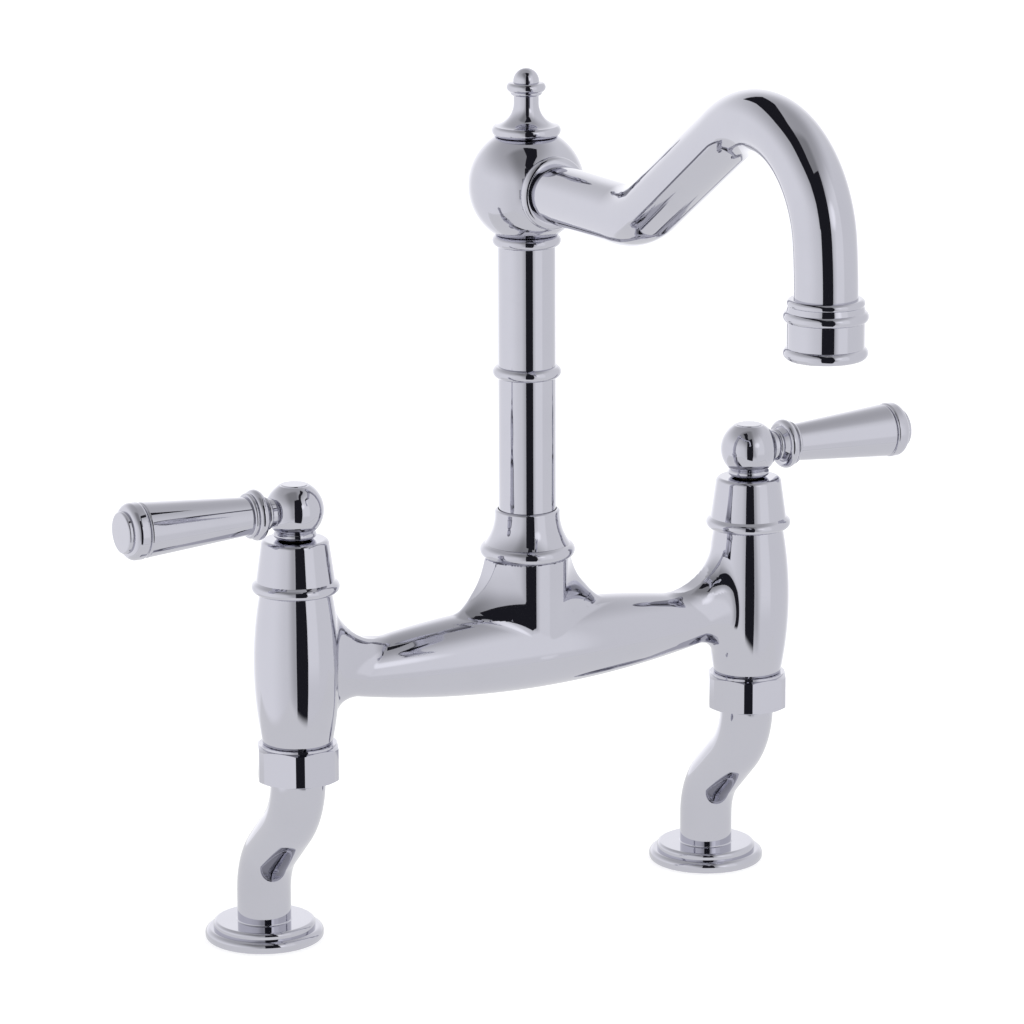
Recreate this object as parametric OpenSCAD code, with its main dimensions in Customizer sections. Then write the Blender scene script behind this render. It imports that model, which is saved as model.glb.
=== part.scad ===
// Bridge kitchen faucet: a bowed bridge on two cranked legs, two lever valves, and a column that
// turns on the bridge and carries a ball, a finial and a swan-neck spout. Millimetres, +Z up.
// X runs along the bridge and the spout points to -Y. The origin is on the deck, midway between
// the two feet.

/* [Overall] */
// Distance between the two pillars, and between the two tap holes
centres = 200; // [190:1:215]
// Height of the whole faucet, from the deck to the top of the spout's arch
full_height = 348.92; // [335:0.5:363]
// Reach of the spout, from the column's axis to the nozzle's axis
reach = 207.56; // [203:0.5:213]
// How far each leg is cranked, from the foot's axis forward to the pillar's axis
crank = 30.4; // [26:0.2:34]
// Height of the bridge's axis above the tops of the union nuts
bridge_rise = 24.35; // [22:0.05:26]

/* [Feet and legs] */
// Radius of the foot's lower disc
foot_r = 22.9; // [21:0.1:26]
// Height of the foot's lower disc
foot_rim_h = 4.6; // [4:0.1:5]
// Radius of the foot's upper disc
foot_step_r = 19.7; // [18:0.1:20]
// Height of the upper disc's top
foot_step_z = 7.4; // [7:0.1:8]
// Height of the seam between the foot's neck and the leg
foot_seam_z = 12.5; // [12:0.1:14]
// Outer radius of the leg's tube and of the foot's neck
leg_r = 10.4; // [10:0.1:11]
// Radius of the water way through the legs and the pillars
water_r = 6.5; // [5:0.1:6.8]
// Radius of the leg's upper bend, on its centreline
leg_upper_bend_r = 30; // [26:1:32]
// Radius of the leg's lower bend, on its centreline
leg_lower_bend_r = 26; // [22:1:28]
// How far the leg leans from the vertical between its bends, in degrees
leg_lean = 46.5; // [44:0.5:50]
// Length of the leg's straight stretch between its lower bend and the foot
leg_foot_run = 6.59; // [4:0.01:12]
// Radius of the threaded hose socket under each foot
socket_r = 7.5; // [7:0.1:7.6]
// Depth of the hose socket
socket_depth = 9.4; // [8:0.1:9.6]
// Inner radius of the rubber seal let into the underside of the foot
deck_seal_in_r = 14; // [13:0.5:15]
// Outer radius of that seal
deck_seal_out_r = 19.5; // [18:0.5:20]
// Thickness of that seal
deck_seal_t = 2; // [1.5:0.1:2.5]

/* [Union nuts] */
// Width of the nut across its flats
nut_af = 30; // [30:0.1:31]
// Height of the nut
nut_h = 14; // [13.5:0.1:15]
// Height of the nut's vertical edges, below the chamfer
nut_edge_h = 12.3; // [12:0.1:12.6]
// Thickness of the leg's flange, and of the nut's floor below it
leg_flange_t = 3; // [2.5:0.1:3]
// Thickness of the fibre washer between the flange and the pillar
washer_t = 2; // [1.5:0.1:2.5]
// Radius of the threaded spigot under each pillar
spigot_r = 12.8; // [12.4:0.1:12.8]

/* [Bridge] */
// Widest radius of a pillar's barrel
barrel_r = 16.3; // [16:0.1:17]
// Height of the barrel's widest place above the bridge's axis
barrel_mid_rise = 6.05; // [4:0.05:8]
// Radius of the barrel's bulge, seen from the side
barrel_arc_r = 150; // [140:5:180]
// Height of the barrel, from the union nut to the bonnet
barrel_h = 58.65; // [57:0.05:60]
// Radius of the bridge's arm at the middle
arm_r = 16.85; // [16:0.05:17.2]
// Radius of the arm's bow, seen from the side
arm_arc_r = 405; // [390:5:430]
// Radius of the round fillet where the arm meets a pillar
arm_fillet_r = 8.5; // [7:0.5:9]
// Distance from the bridge's middle to the start of that fillet
arm_fillet_x = 75; // [74:0.5:76]
// Radius of the hub that carries the column
hub_r = 16; // [15.6:0.1:16.2]
// Height of the hub above the bridge's axis, up to the bell collar
hub_h = 35.45; // [34:0.05:37]
// Radius of the hollow of the webs beside the hub
hub_web_r = 24.5; // [22:0.5:25]
// Height of the centre of that hollow above the hub's top
hub_web_rise = 5; // [4:0.1:6]
// Radius of the hollow of the webs beside the pillars
pillar_web_r = 17; // [15:0.5:18]
// Height of the centre of that hollow above the bridge's axis
pillar_web_rise = 29.15; // [28:0.05:30]
// Half width of the webs at the hub
web_wide = 10; // [8:0.5:12]
// Half width of the webs along the arm
web_thin = 4; // [3:0.5:5]
// Radius of the cross passage through the bridge
passage_r = 5; // [4:0.1:5]
// Radius of the mixing chamber in the hub, which is also the column's bearing
hub_bore_r = 9.5; // [9:0.1:10]

/* [Bonnets] */
// Outer radius of the ring at the bonnet's foot
bonnet_ring_r = 16.65; // [16.2:0.05:17]
// Section radius of that ring
bonnet_bead_r = 2.15; // [2:0.05:2.4]
// Radius of the bonnet's cone just above the ring
bonnet_low_r = 15; // [14.6:0.1:15.2]
// Radius of the bonnet's cone at its shoulder
bonnet_high_r = 12.65; // [12.4:0.05:13]
// Height of the bonnet
bonnet_h = 20.45; // [20:0.05:22]

/* [Valves] */
// Radius of the valve chamber in each pillar
chamber_r = 11; // [10.9:0.1:11.2]
// Depth of the chamber's floor below the bridge's axis
chamber_drop = 7.35; // [6:0.05:8]
// Thickness of each ceramic disc, and of the rubber seal under them
disc_t = 2; // [1.8:0.1:2]
// Radius of the fixed ceramic disc
fixed_disc_r = 9.3; // [9:0.1:9.4]
// Radius of the moving ceramic disc
moving_disc_r = 8.8; // [8.4:0.1:8.8]
// Radius of the port in each disc
port_r = 2.8; // [2.4:0.1:3]
// Distance of the port from the disc's axis
port_offset = 4.4; // [4:0.1:5]
// Radius of the valve spindle
spindle_r = 5; // [4.8:0.1:5]
// Height of the spindle's top above the lever's axis
spindle_rise = 3.25; // [3:0.05:3.6]

/* [Levers] */
// Radius of the ball at the lever's root
lever_ball_r = 11.1; // [10.9:0.1:11.3]
// Height of the lever's axis above the bonnet
lever_rise = 11.15; // [11:0.05:12]
// Distance from the pillar's axis to the collar's inner face
collar_in = 9.6; // [9.4:0.1:9.8]
// Distance from the pillar's axis to the grip's inner face
grip_in = 20.2; // [20:0.1:21]
// Distance from the pillar's axis to the grip's outer face
grip_out = 63.7; // [60:0.1:70]
// Radius of the grip at its inner end
grip_thin_r = 7.2; // [6.8:0.1:7.6]
// Radius of the grip at its outer end
grip_thick_r = 10.5; // [10:0.1:11]
// Radius of the end cap
end_cap_r = 10.75; // [10.5:0.05:11.2]
// Length of the end cap, without its button
end_cap_l = 6.1; // [5.6:0.1:7]
// Radius of the end cap's button
end_button_r = 7.9; // [7:0.1:8.2]
// Length of that button
end_button_l = 1.9; // [1.5:0.1:2.2]
// Radius of the rod that holds the grip
rod_r = 2.5; // [2:0.1:2.8]
// Radius of the lever screw's shank
screw_r = 2; // [1.6:0.1:2]
// Radius of the cover over the lever's screw
cover_r = 5; // [4.6:0.1:5.1]
// Quarter turn of a lever, in degrees
lever_turn = 90; // [80:5:90]

/* [Column] */
// Outer radius of the column's tube
column_r = 11; // [10.8:0.1:11]
// Wall of the column's tube
column_wall = 1.1; // [1:0.1:1.2]
// Outer radius of the ring at the bell collar's foot
bell_ring_r = 18.35; // [18:0.05:18.8]
// Section radius of that ring
bell_bead_r = 2.7; // [2.5:0.1:2.8]
// Radius of the bell collar's top
bell_top_r = 12.5; // [12.4:0.1:13]
// Height of the bell collar
bell_h = 18.7; // [18:0.1:20]
// Radius of the bell collar's hollow flare
bell_flare_r = 20; // [19:0.5:21]
// Outer radius of the column's rings
ring_r = 13.1; // [12.9:0.05:13.4]
// Section radius of the column's rings
ring_bead_r = 2.3; // [2.2:0.05:2.4]
// Height of the column's middle ring above the bell collar
mid_ring_rise = 53.7; // [45:0.1:65]

/* [Ball and finial] */
// Radius of the spout's ball
ball_r = 22.1; // [21.6:0.1:22.6]
// Outer radius of the ring round the spout's root
root_ring_r = 13.9; // [13.6:0.1:14.2]
// Section radius of that ring
root_bead_r = 2.2; // [2.1:0.05:2.3]
// Height of the finial above the ball
finial_h = 25.9; // [24:0.1:30]

/* [Spout] */
// Outer radius of the spout's tube
spout_r = 11.2; // [11:0.05:11.3]
// Wall of the spout's tube
spout_wall = 1.4; // [1.2:0.1:1.6]
// Radius of the elbow
elbow_r = 40; // [36:1:44]
// Angle of the rising run, in degrees
rise_angle = 34; // [32:0.5:36]
// Length of the rising run
rise_run = 60.7; // [56:0.1:64]
// Radius of the arch
arch_r = 40.6; // [38:0.2:44]
// Angle that the arch leaves to the drop, in degrees
drop_angle = 6; // [4:0.5:8]
// Radius of the drop's long bend
drop_r = 180; // [170:5:190]

/* [Nozzle] */
// Radius of the nozzle's barrel
nozzle_r = 13.55; // [13.3:0.05:13.8]
// Outer radius of the nozzle's upper small ring
nozzle_small_r = 13.6; // [13.4:0.05:13.9]
// Outer radius of the ring below it
nozzle_ring_r = 14.9; // [14.6:0.05:15.2]
// Outer radius of the ring at the mouth
mouth_ring_r = 14.8; // [14.6:0.05:15.2]
// Depth of the nozzle's mouth below the spout's root
mouth_drop = 28.7; // [24:0.1:34]
// Radius of the seat for the aerator
aerator_r = 11.5; // [11.2:0.1:11.5]

/* [Clearances] */
// Radial clearance of a turning fit
running = 0.05; // [0.03:0.01:0.08]
// Gap between parts that turn past each other
gap = 0.3; // [0.25:0.05:0.35]

/* [Hidden] */

left = -1;
right = 1;
smooth = 96;
chrome = [0.80, 0.81, 0.85];
brass = [0.80, 0.66, 0.38];
rubber = [0.12, 0.12, 0.13];
ceramic = [0.93, 0.92, 0.88];
fibre = [0.62, 0.26, 0.18];
plastic = [0.86, 0.87, 0.88];

// A cut runs this far past the face that it opens
past = 1;
// At a tube's seams the straight stretches are thinner by this, and run into the bends by that
seam_step = 0.1;
seam_lap = 0.5;

// Legs: the straight piece between the bends makes up the crank
lean_run = (crank - (leg_upper_bend_r + leg_lower_bend_r) * (1 - cos(leg_lean))) / sin(leg_lean);
leg_bend_h = (leg_upper_bend_r + leg_lower_bend_r) * sin(leg_lean) + lean_run * cos(leg_lean);
leg_low_z = foot_seam_z + leg_foot_run;

// Spout path, from the column's axis: s runs forward and h upward from the ball's centre
socket_s = 14;
ball_hole_r = 12.24;
root_flat_s = sqrt(ball_r * ball_r - ball_hole_r * ball_hole_r);
slip_run = 1;
elbow_reach = elbow_r * sin(rise_angle);
rise_reach = rise_run * cos(rise_angle);
arch_reach = arch_r * (sin(rise_angle) + cos(drop_angle));
drop_reach = slip_run * sin(drop_angle) + drop_r * (1 - cos(drop_angle));
spout_run = reach - elbow_reach - rise_reach - arch_reach - drop_reach;
elbow_s = spout_run + elbow_reach;
elbow_h = elbow_r * (1 - cos(rise_angle));
rise_s = elbow_s + rise_reach;
rise_h = elbow_h + rise_run * sin(rise_angle);
arch_s = rise_s + arch_r * sin(rise_angle);
arch_h = rise_h - arch_r * cos(rise_angle);
arch_turn = rise_angle + 90 - drop_angle;
slip_s = arch_s + arch_r * cos(drop_angle);
slip_h = arch_h + arch_r * sin(drop_angle);
drop_s = reach - drop_r;
drop_h = slip_h - slip_run * cos(drop_angle) - drop_r * sin(drop_angle);
spout_in_r = spout_r - spout_wall;

// Heights above the deck, each stacked on what carries it
nut_z = leg_low_z + leg_bend_h;
barrel_low_z = nut_z + nut_h;
bridge_z = barrel_low_z + bridge_rise;
barrel_mid_z = bridge_z + barrel_mid_rise;
barrel_top_z = barrel_low_z + barrel_h;
hub_top_z = bridge_z + hub_h;
hub_web_z = hub_top_z + hub_web_rise;
pillar_web_z = bridge_z + pillar_web_rise;
chamber_z = bridge_z - chamber_drop;
bonnet_top_z = barrel_top_z + bonnet_h;
lever_z = bonnet_top_z + lever_rise;
spindle_top_z = lever_z + spindle_rise;
bell_top_z = hub_top_z + bell_h;
mid_ring_z = bell_top_z + mid_ring_rise;
ball_z = full_height - arch_h - arch_r - spout_r;
mouth_z = ball_z - mouth_drop;
foot_spigot_r = 8.8;
foot_spigot_l = 2.1;
foot_low_round = 1.6;
foot_rim_round = 2.2;
foot_step_round = 1.5;

// Union: nut floor, leg flange, washer and pillar spigot, stacked upward
flange_z = nut_z + leg_flange_t;
washer_z = flange_z + leg_flange_t;
pillar_spigot_z = washer_z + washer_t;
nut_play = 0.2;
nut_bore_r = spigot_r + nut_play;
nut_rim_h = 0.8;
nut_rim_r = 14.6;
flange_r = spigot_r - gap;

// Bridge
arm_slope = asin(arm_fillet_x / arm_arc_r);
arm_fillet_base_r = arm_r - arm_arc_r * (1 - cos(arm_slope));
boss_r = 12.9;
boss_h = 4.6;
boss_top_z = hub_top_z + boss_h;
hub_floor_z = bridge_z - hub_bore_r + 1.15;
web_tail_drop = 2.6;
web_tail_l = 12.5;
web_proud = 0.2;
web_neck_x = hub_r + 30;
web_thin_x = centres / 2 - 36;
arm_fillet_sink = 0.04;

// Valve stack, upward from the chamber's floor
fixed_disc_z = chamber_z + disc_t;
moving_disc_z = fixed_disc_z + disc_t;
carrier_z = moving_disc_z + disc_t;
carrier_r = 6;
carrier_h = 5;
carrier_top_z = carrier_z + carrier_h;
cage_r = 9.4;
cage_top_z = carrier_top_z + gap;
window_r = 2.9;
window_sink = 0.9;
window_z = carrier_z + window_r - window_sink;
cartridge_hex_h = 7;
cartridge_room = 0.5;
bonnet_roof_t = 6.6;
bonnet_cavity_z = bonnet_top_z - bonnet_roof_t;
cartridge_top_z = bonnet_cavity_z - cartridge_room;
cartridge_hex_z = cartridge_top_z - cartridge_hex_h;
cartridge_af = 17;
cartridge_r = chamber_r - 0.1;
o_ring_r = 0.85;
o_ring_z = carrier_top_z + 16;

// Lever
lever_foot_z = bonnet_top_z + gap;
lever_stem_r = 6.8;
lever_stem_h = 4;
stem_bead_out_r = 8.1;
stem_bead_r = 1.45;
stem_bead_h = 1.7;
lever_flat_h = 9.6;
lever_flat_z = lever_z + lever_flat_h;
cover_seat = 1.2;
cover_proud = 0.3;
cover_z = lever_flat_z - cover_seat;
screw_head_r = 3.8;
screw_head_h = 3;
screw_seat_z = spindle_top_z + 1.5;
screw_l = 11;
screw_play = 0.1;
rod_in = spindle_r + 0.6;
rod_out = grip_out + 4;
end_cap_low_round = 1.2;
end_cap_top_round = 2.8;
end_button_round = 0.8;

// Column: the spigot's flange turns between two glide rings inside the bell collar
glide_t = 0.8;
flange_low_z = boss_top_z + glide_t + running;
flange_t = 2.2;
flange_top_z = flange_low_z + flange_t;
glide_high_z = flange_top_z + running;
bell_cavity_z = glide_high_z + glide_t;
bell_cavity_r = 13;
bell_bore_r = column_r + gap;
bell_ring_z = hub_top_z + bell_bead_r;
bell_lip_h = 1.6;
bell_flare_z = bell_top_z - bell_lip_h;
bell_top_round = 1;
journal_l = 30.4;
spigot_plug_l = 16.5;
spigot_low_z = boss_top_z - journal_l;
spigot_plug_z = flange_top_z + spigot_plug_l;
spigot_bore_r = 6.5;
seal_z = [spigot_low_z + 8, spigot_low_z + 18];
seal_r = 1.15;
column_in_r = column_r - column_wall;
ball_flat_r = 11.8;
ball_way_r = 7;
ball_spigot_l = 9;
ball_flat = sqrt(ball_r * ball_r - ball_flat_r * ball_flat_r);
column_top_z = ball_z - ball_flat;
ball_spigot_z = column_top_z - ball_spigot_l;
top_ring_z = column_top_z - ring_bead_r;
finial_z = ball_z + ball_flat;
finial_top_z = finial_z + finial_h;
finial_bead_z = finial_z + ring_bead_r;
finial_stud_r = 4;
finial_stud_l = 8;
finial_hole_l = finial_stud_l + 2;

// Nozzle, upward from the mouth
mouth_bead_r = 2.2;
nozzle_bead_r = 2.1;
small_bead_r = 1.5;
nozzle_ring_h = 15;
nozzle_small_h = 19.7;
nozzle_ledge = 1.2;
aerator_recess = 1.2;
aerator_h = 7;
aerator_seal_t = 1.5;
nozzle_ring_z = mouth_z + nozzle_ring_h;
nozzle_small_z = mouth_z + nozzle_small_h;
nozzle_top_z = nozzle_small_z + small_bead_r;
aerator_z = mouth_z + aerator_recess;
aerator_seal_z = aerator_z + aerator_h;
nozzle_seat_z = aerator_seal_z + aerator_seal_t;
nozzle_socket_z = nozzle_seat_z + nozzle_ledge;
spout_end_h = nozzle_socket_z - ball_z;

// A rectangle in a half section, from r0 to r1 and from z0 to z1
module band(r0, r1, z0, z1) {
    translate([r0, z0]) square([r1 - r0, z1 - z0]);
}

// A round bead in a half section, reaching out to r_out
module bead(r_out, r, z) {
    translate([r_out - r, z]) circle(r, $fn = smooth);
}

// A disc's half section, its lower and upper edge rounded by low_r and high_r
module disc(r, z0, z1, low_r, high_r) {
    band(0, r, z0 + low_r, z1 - high_r);
    if (low_r > 0) {
        band(0, r - low_r, z0, z1 - high_r);
        bead(r, low_r, z0 + low_r);
    }
    if (high_r > 0) {
        band(0, r - high_r, z0 + low_r, z1);
        bead(r, high_r, z1 - high_r);
    }
}

// A half section turned round the Z axis
module turned() {
    rotate_extrude($fn = smooth) children();
}

// A round bar along Z, from z0 to z1
module bar(r, z0, z1) {
    translate([0, 0, z0]) cylinder(r = r, h = z1 - z0, $fn = smooth);
}

// A ring along Z, from z0 to z1
module tube(r_out, r_in, z0, z1) {
    difference() {
        bar(r_out, z0, z1);
        bar(r_in, z0 - past, z1 + past);
    }
}

module at_foot(side) {
    translate([side * centres / 2, 0, 0]) children();
}

module at_pillar(side) {
    translate([side * centres / 2, -crank, 0]) children();
}

module at_column() {
    translate([0, -crank, 0]) children();
}

module at_nozzle() {
    translate([0, -crank - reach, 0]) children();
}

// A lever piece is drawn turned round +Z and laid outward from its pillar
module along_lever(side) {
    at_pillar(side) translate([0, 0, lever_z]) mirror([side < 0 ? 1 : 0, 0, 0])
        rotate([0, 90, 0]) children();
}

// A bend: a disc of radius r swept round a centre, from one angle to another
module bend(r, bend_r, from, to) {
    rotate([0, 0, from]) rotate_extrude(angle = to - from, $fn = smooth)
        translate([bend_r, 0]) circle(r, $fn = smooth);
}

// A straight stretch in the plane of a path, from a point, at an angle from local X. It is a hair
// thinner than the bends and runs a little way into each bend that it meets, by lead and by tail.
module straight(r, start, angle, length, lead, tail) {
    translate([start[0], start[1], 0]) rotate([0, 0, angle]) rotate([0, 90, 0])
        bar(r - seam_step, -lead, length + tail);
}

module foot() {
    difference() {
        turned() {
            disc(foot_r, 0, foot_rim_h, foot_low_round, foot_rim_round);
            disc(foot_step_r, foot_rim_h - past, foot_step_z, 0, foot_step_round);
            band(0, leg_r, foot_step_z - past, foot_seam_z);
        }
        bar(socket_r, -past, socket_depth);
        bar(water_r, 0, foot_seam_z + past);
        bar(foot_spigot_r, foot_seam_z - foot_spigot_l, foot_seam_z + past);
        tube(deck_seal_out_r, deck_seal_in_r, -past, deck_seal_t);
    }
}

// The rubber ring let into the underside of a foot
module deck_seal() {
    tube(deck_seal_out_r, deck_seal_in_r, 0, deck_seal_t);
}

// The leg's path in its own plane: x from the pillar to the foot, y upward. It runs from the top
// of the flange down to low_z.
module leg_path(r, low_z, over) {
    lean_x = leg_upper_bend_r * (1 - cos(leg_lean));
    lean_y = nut_z - leg_upper_bend_r * sin(leg_lean);
    straight(r, [0, washer_z], -90, washer_z - nut_z, over, seam_lap);
    translate([leg_upper_bend_r, nut_z, 0]) bend(r, leg_upper_bend_r, 180, 180 + leg_lean);
    straight(r, [lean_x, lean_y], leg_lean - 90, lean_run, seam_lap, seam_lap);
    translate([crank - leg_lower_bend_r, leg_low_z, 0]) bend(r, leg_lower_bend_r, 0, leg_lean);
    straight(r, [crank, leg_low_z], -90, leg_low_z - low_z, seam_lap, over);
}

module leg() {
    difference() {
        union() {
            translate([0, -crank, 0]) rotate([90, 0, 90]) leg_path(leg_r, foot_seam_z, 0);
            translate([0, -crank, 0]) bar(flange_r, flange_z, washer_z);
            bar(foot_spigot_r, foot_seam_z - foot_spigot_l, foot_seam_z + past);
        }
        translate([0, -crank, 0]) rotate([90, 0, 90])
            leg_path(water_r, foot_seam_z - foot_spigot_l, past);
    }
}

// A hexagonal nut with one corner to the front left, chamfered above, with a turned rim
module union_nut() {
    corner_r = nut_af / 2 / cos(30);
    top_z = nut_z + nut_h;
    chamfer_slope = (nut_h - nut_rim_h - nut_edge_h) / (corner_r - nut_rim_r);
    difference() {
        union() {
            intersection() {
                translate([0, 0, nut_z]) cylinder(r = corner_r, h = nut_h - nut_rim_h, $fn = 6);
                turned() polygon([
                    [0, nut_z],
                    [corner_r + past, nut_z],
                    [corner_r + past, nut_z + nut_edge_h - past * chamfer_slope],
                    [nut_rim_r, top_z - nut_rim_h],
                    [0, top_z - nut_rim_h]
                ]);
            }
            bar(nut_rim_r, top_z - nut_rim_h - seam_lap, top_z);
        }
        bar(nut_bore_r, flange_z, top_z + past);
        bar(leg_r + nut_play, nut_z - past, top_z);
    }
}

module union_washer() {
    tube(flange_r, water_r, washer_z, pillar_spigot_z);
}

// The bridge's arms: one bowed spindle along X, with a round fillet into each pillar
module arms() {
    fillet_r = arm_fillet_base_r + arm_fillet_r * cos(arm_slope) - arm_fillet_sink;
    fillet_x = arm_fillet_x + arm_fillet_r * sin(arm_slope);
    translate([0, 0, bridge_z]) rotate([0, 90, 0]) turned() {
        intersection() {
            translate([arm_r - arm_arc_r, 0]) circle(arm_arc_r, $fn = 4 * smooth);
            band(0, 2 * arm_r, -centres / 2, centres / 2);
        }
        for (side = [left, right]) {
            mirror([0, side < 0 ? 1 : 0]) difference() {
                band(0, fillet_r, arm_fillet_x, fillet_x + arm_fillet_r);
                translate([fillet_r, fillet_x]) circle(arm_fillet_r, $fn = smooth);
            }
        }
    }
}

// A flare round the Z axis, hollowed by a circle of web_r, with a short sloping tail
module flare(root_r, web_r, web_z, tail_l, tail_drop) {
    out_r = root_r + web_r;
    turned() {
        difference() {
            band(0, out_r, bridge_z, web_z);
            translate([out_r, web_z]) circle(web_r, $fn = smooth);
        }
        polygon([
            [out_r - past, bridge_z],
            [out_r + tail_l, bridge_z],
            [out_r + tail_l, web_z - web_r - tail_drop],
            [out_r, web_z - web_r],
            [out_r - past, web_z - web_r]
        ]);
    }
}

// The webs between the arms and what stands on them, narrow in plan
module webs() {
    for (side = [left, right]) mirror([side < 0 ? 1 : 0, 0, 0]) intersection() {
        union() {
            intersection() {
                flare(hub_r, hub_web_r, hub_web_z, web_tail_l, web_tail_drop);
                bar(centres, bridge_z, hub_top_z);
            }
            translate([centres / 2, 0, 0])
                flare(barrel_r + web_proud, pillar_web_r, pillar_web_z, web_tail_l / 2, 0);
        }
        translate([0, 0, bridge_z]) linear_extrude(hub_web_z - bridge_z) polygon([
            [0, -web_wide],
            [web_neck_x, -web_thin],
            [web_thin_x, -web_thin],
            [centres / 2, -2 * web_thin],
            [centres / 2, 2 * web_thin],
            [web_thin_x, web_thin],
            [web_neck_x, web_thin],
            [0, web_wide]
        ]);
    }
}

// The barrel of a pillar, with the threaded spigot under it
module barrel() {
    turned() {
        intersection() {
            translate([barrel_r - barrel_arc_r, barrel_mid_z]) circle(barrel_arc_r, $fn = 4 * smooth);
            band(0, 2 * barrel_r, barrel_low_z, barrel_top_z);
        }
        band(0, spigot_r, pillar_spigot_z, barrel_low_z + past);
    }
}

module bridge_body() {
    color(chrome) at_column() difference() {
        union() {
            arms();
            webs();
            bar(hub_r, bridge_z, hub_top_z);
            bar(boss_r, bridge_z, boss_top_z);
            for (side = [left, right]) translate([side * centres / 2, 0, 0]) barrel();
        }
        bar(hub_bore_r, hub_floor_z, boss_top_z + past);
        translate([-centres / 2, 0, bridge_z]) rotate([0, 90, 0]) bar(passage_r, 0, centres);
        for (side = [left, right]) translate([side * centres / 2, 0, 0]) {
            bar(water_r, pillar_spigot_z - past, chamber_z + past);
            bar(chamber_r, chamber_z, barrel_top_z + past);
        }
    }
}

// The bell collar screws onto the hub's boss and keeps the column's flange down
module bell_collar() {
    color(chrome) at_column() difference() {
        turned() {
            difference() {
                band(0, bell_ring_r - bell_bead_r, hub_top_z, bell_flare_z);
                translate([bell_top_r + bell_flare_r, bell_flare_z]) circle(bell_flare_r, $fn = smooth);
            }
            disc(bell_top_r, bell_flare_z - past, bell_top_z, 0, bell_top_round);
            bead(bell_ring_r, bell_bead_r, bell_ring_z);
        }
        bar(boss_r, hub_top_z - past, boss_top_z);
        bar(bell_cavity_r, boss_top_z, bell_cavity_z);
        bar(bell_bore_r, hub_top_z, bell_top_z + past);
    }
}

// Two thin rings that the column's flange turns between
module glide_rings() {
    color(plastic) at_column() {
        tube(bell_cavity_r - 0.1, hub_bore_r + gap, boss_top_z, boss_top_z + glide_t);
        tube(bell_cavity_r - 0.1, bell_bore_r, glide_high_z, bell_cavity_z);
    }
}

module bonnet() {
    ring_z = barrel_top_z + bonnet_bead_r;
    shoulder_r = 1.8;
    difference() {
        turned() {
            bead(bonnet_ring_r, bonnet_bead_r, ring_z);
            band(0, bonnet_ring_r - bonnet_bead_r, barrel_top_z, ring_z);
            polygon([
                [0, ring_z],
                [bonnet_low_r, ring_z],
                [bonnet_high_r, bonnet_top_z - shoulder_r],
                [0, bonnet_top_z - shoulder_r]
            ]);
            disc(bonnet_high_r, bonnet_top_z - 2 * shoulder_r, bonnet_top_z, 0, shoulder_r);
        }
        bar(chamber_r, barrel_top_z - past, bonnet_cavity_z);
        bar(spindle_r + gap, barrel_top_z, bonnet_top_z + past);
    }
}

// The brass valve body: a cage round the discs, a thread, a hexagon, and a bore for the spindle
module cartridge() {
    difference() {
        union() {
            bar(cartridge_r, fixed_disc_z, cartridge_hex_z);
            translate([0, 0, cartridge_hex_z])
                cylinder(d = cartridge_af / cos(30), h = cartridge_top_z - cartridge_hex_z, $fn = 6);
        }
        bar(cage_r, fixed_disc_z - past, cage_top_z);
        bar(spindle_r + running, fixed_disc_z, cartridge_top_z + past);
        translate([0, 0, window_z]) rotate([0, 90, 0]) bar(window_r, -chamber_r - past, chamber_r + past);
    }
}

module cartridge_seal() {
    tube(cage_r, water_r, chamber_z, fixed_disc_z);
}

// A ceramic disc with one port; angle places the port
module ceramic_disc(r, z, angle) {
    difference() {
        bar(r, z, z + disc_t);
        rotate([0, 0, angle]) translate([port_offset, 0, 0]) bar(port_r, z - past, z + disc_t + past);
    }
}

// The spindle, with the foot that drives the moving disc, a seal groove and a screw hole above
module spindle() {
    groove_r = spindle_r - 2 * o_ring_r;
    difference() {
        union() {
            bar(spindle_r, carrier_z, spindle_top_z);
            bar(carrier_r, carrier_z, carrier_top_z);
        }
        tube(spindle_r + past, groove_r, o_ring_z - o_ring_r, o_ring_z + o_ring_r);
        bar(screw_r, screw_seat_z - screw_l, spindle_top_z + past);
    }
}

module spindle_seal() {
    turned() bead(spindle_r, o_ring_r, o_ring_z);
}

// The ball at the lever's root, on a short beaded stem that sits just above the bonnet
module lever_hub(side) {
    at_pillar(side) difference() {
        union() {
            intersection() {
                translate([0, 0, lever_z]) sphere(lever_ball_r, $fn = smooth);
                bar(lever_ball_r + past, lever_foot_z, lever_flat_z);
                translate([side < 0 ? -collar_in : -2 * lever_ball_r, -lever_ball_r, lever_foot_z])
                    cube([collar_in + 2 * lever_ball_r, 2 * lever_ball_r, 2 * lever_ball_r]);
            }
            turned() {
                band(0, lever_stem_r, lever_foot_z, lever_foot_z + lever_stem_h);
                bead(stem_bead_out_r, stem_bead_r, lever_foot_z + stem_bead_h);
            }
        }
        bar(spindle_r, lever_foot_z - past, spindle_top_z);
        bar(screw_r + screw_play, lever_z, lever_flat_z);
        bar(screw_head_r + screw_play, screw_seat_z, lever_flat_z);
        bar(cover_r, cover_z, lever_flat_z + past);
        translate([0, 0, lever_z]) mirror([side < 0 ? 1 : 0, 0, 0]) rotate([0, 90, 0])
            bar(rod_r, 0, 2 * lever_ball_r);
    }
}

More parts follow.
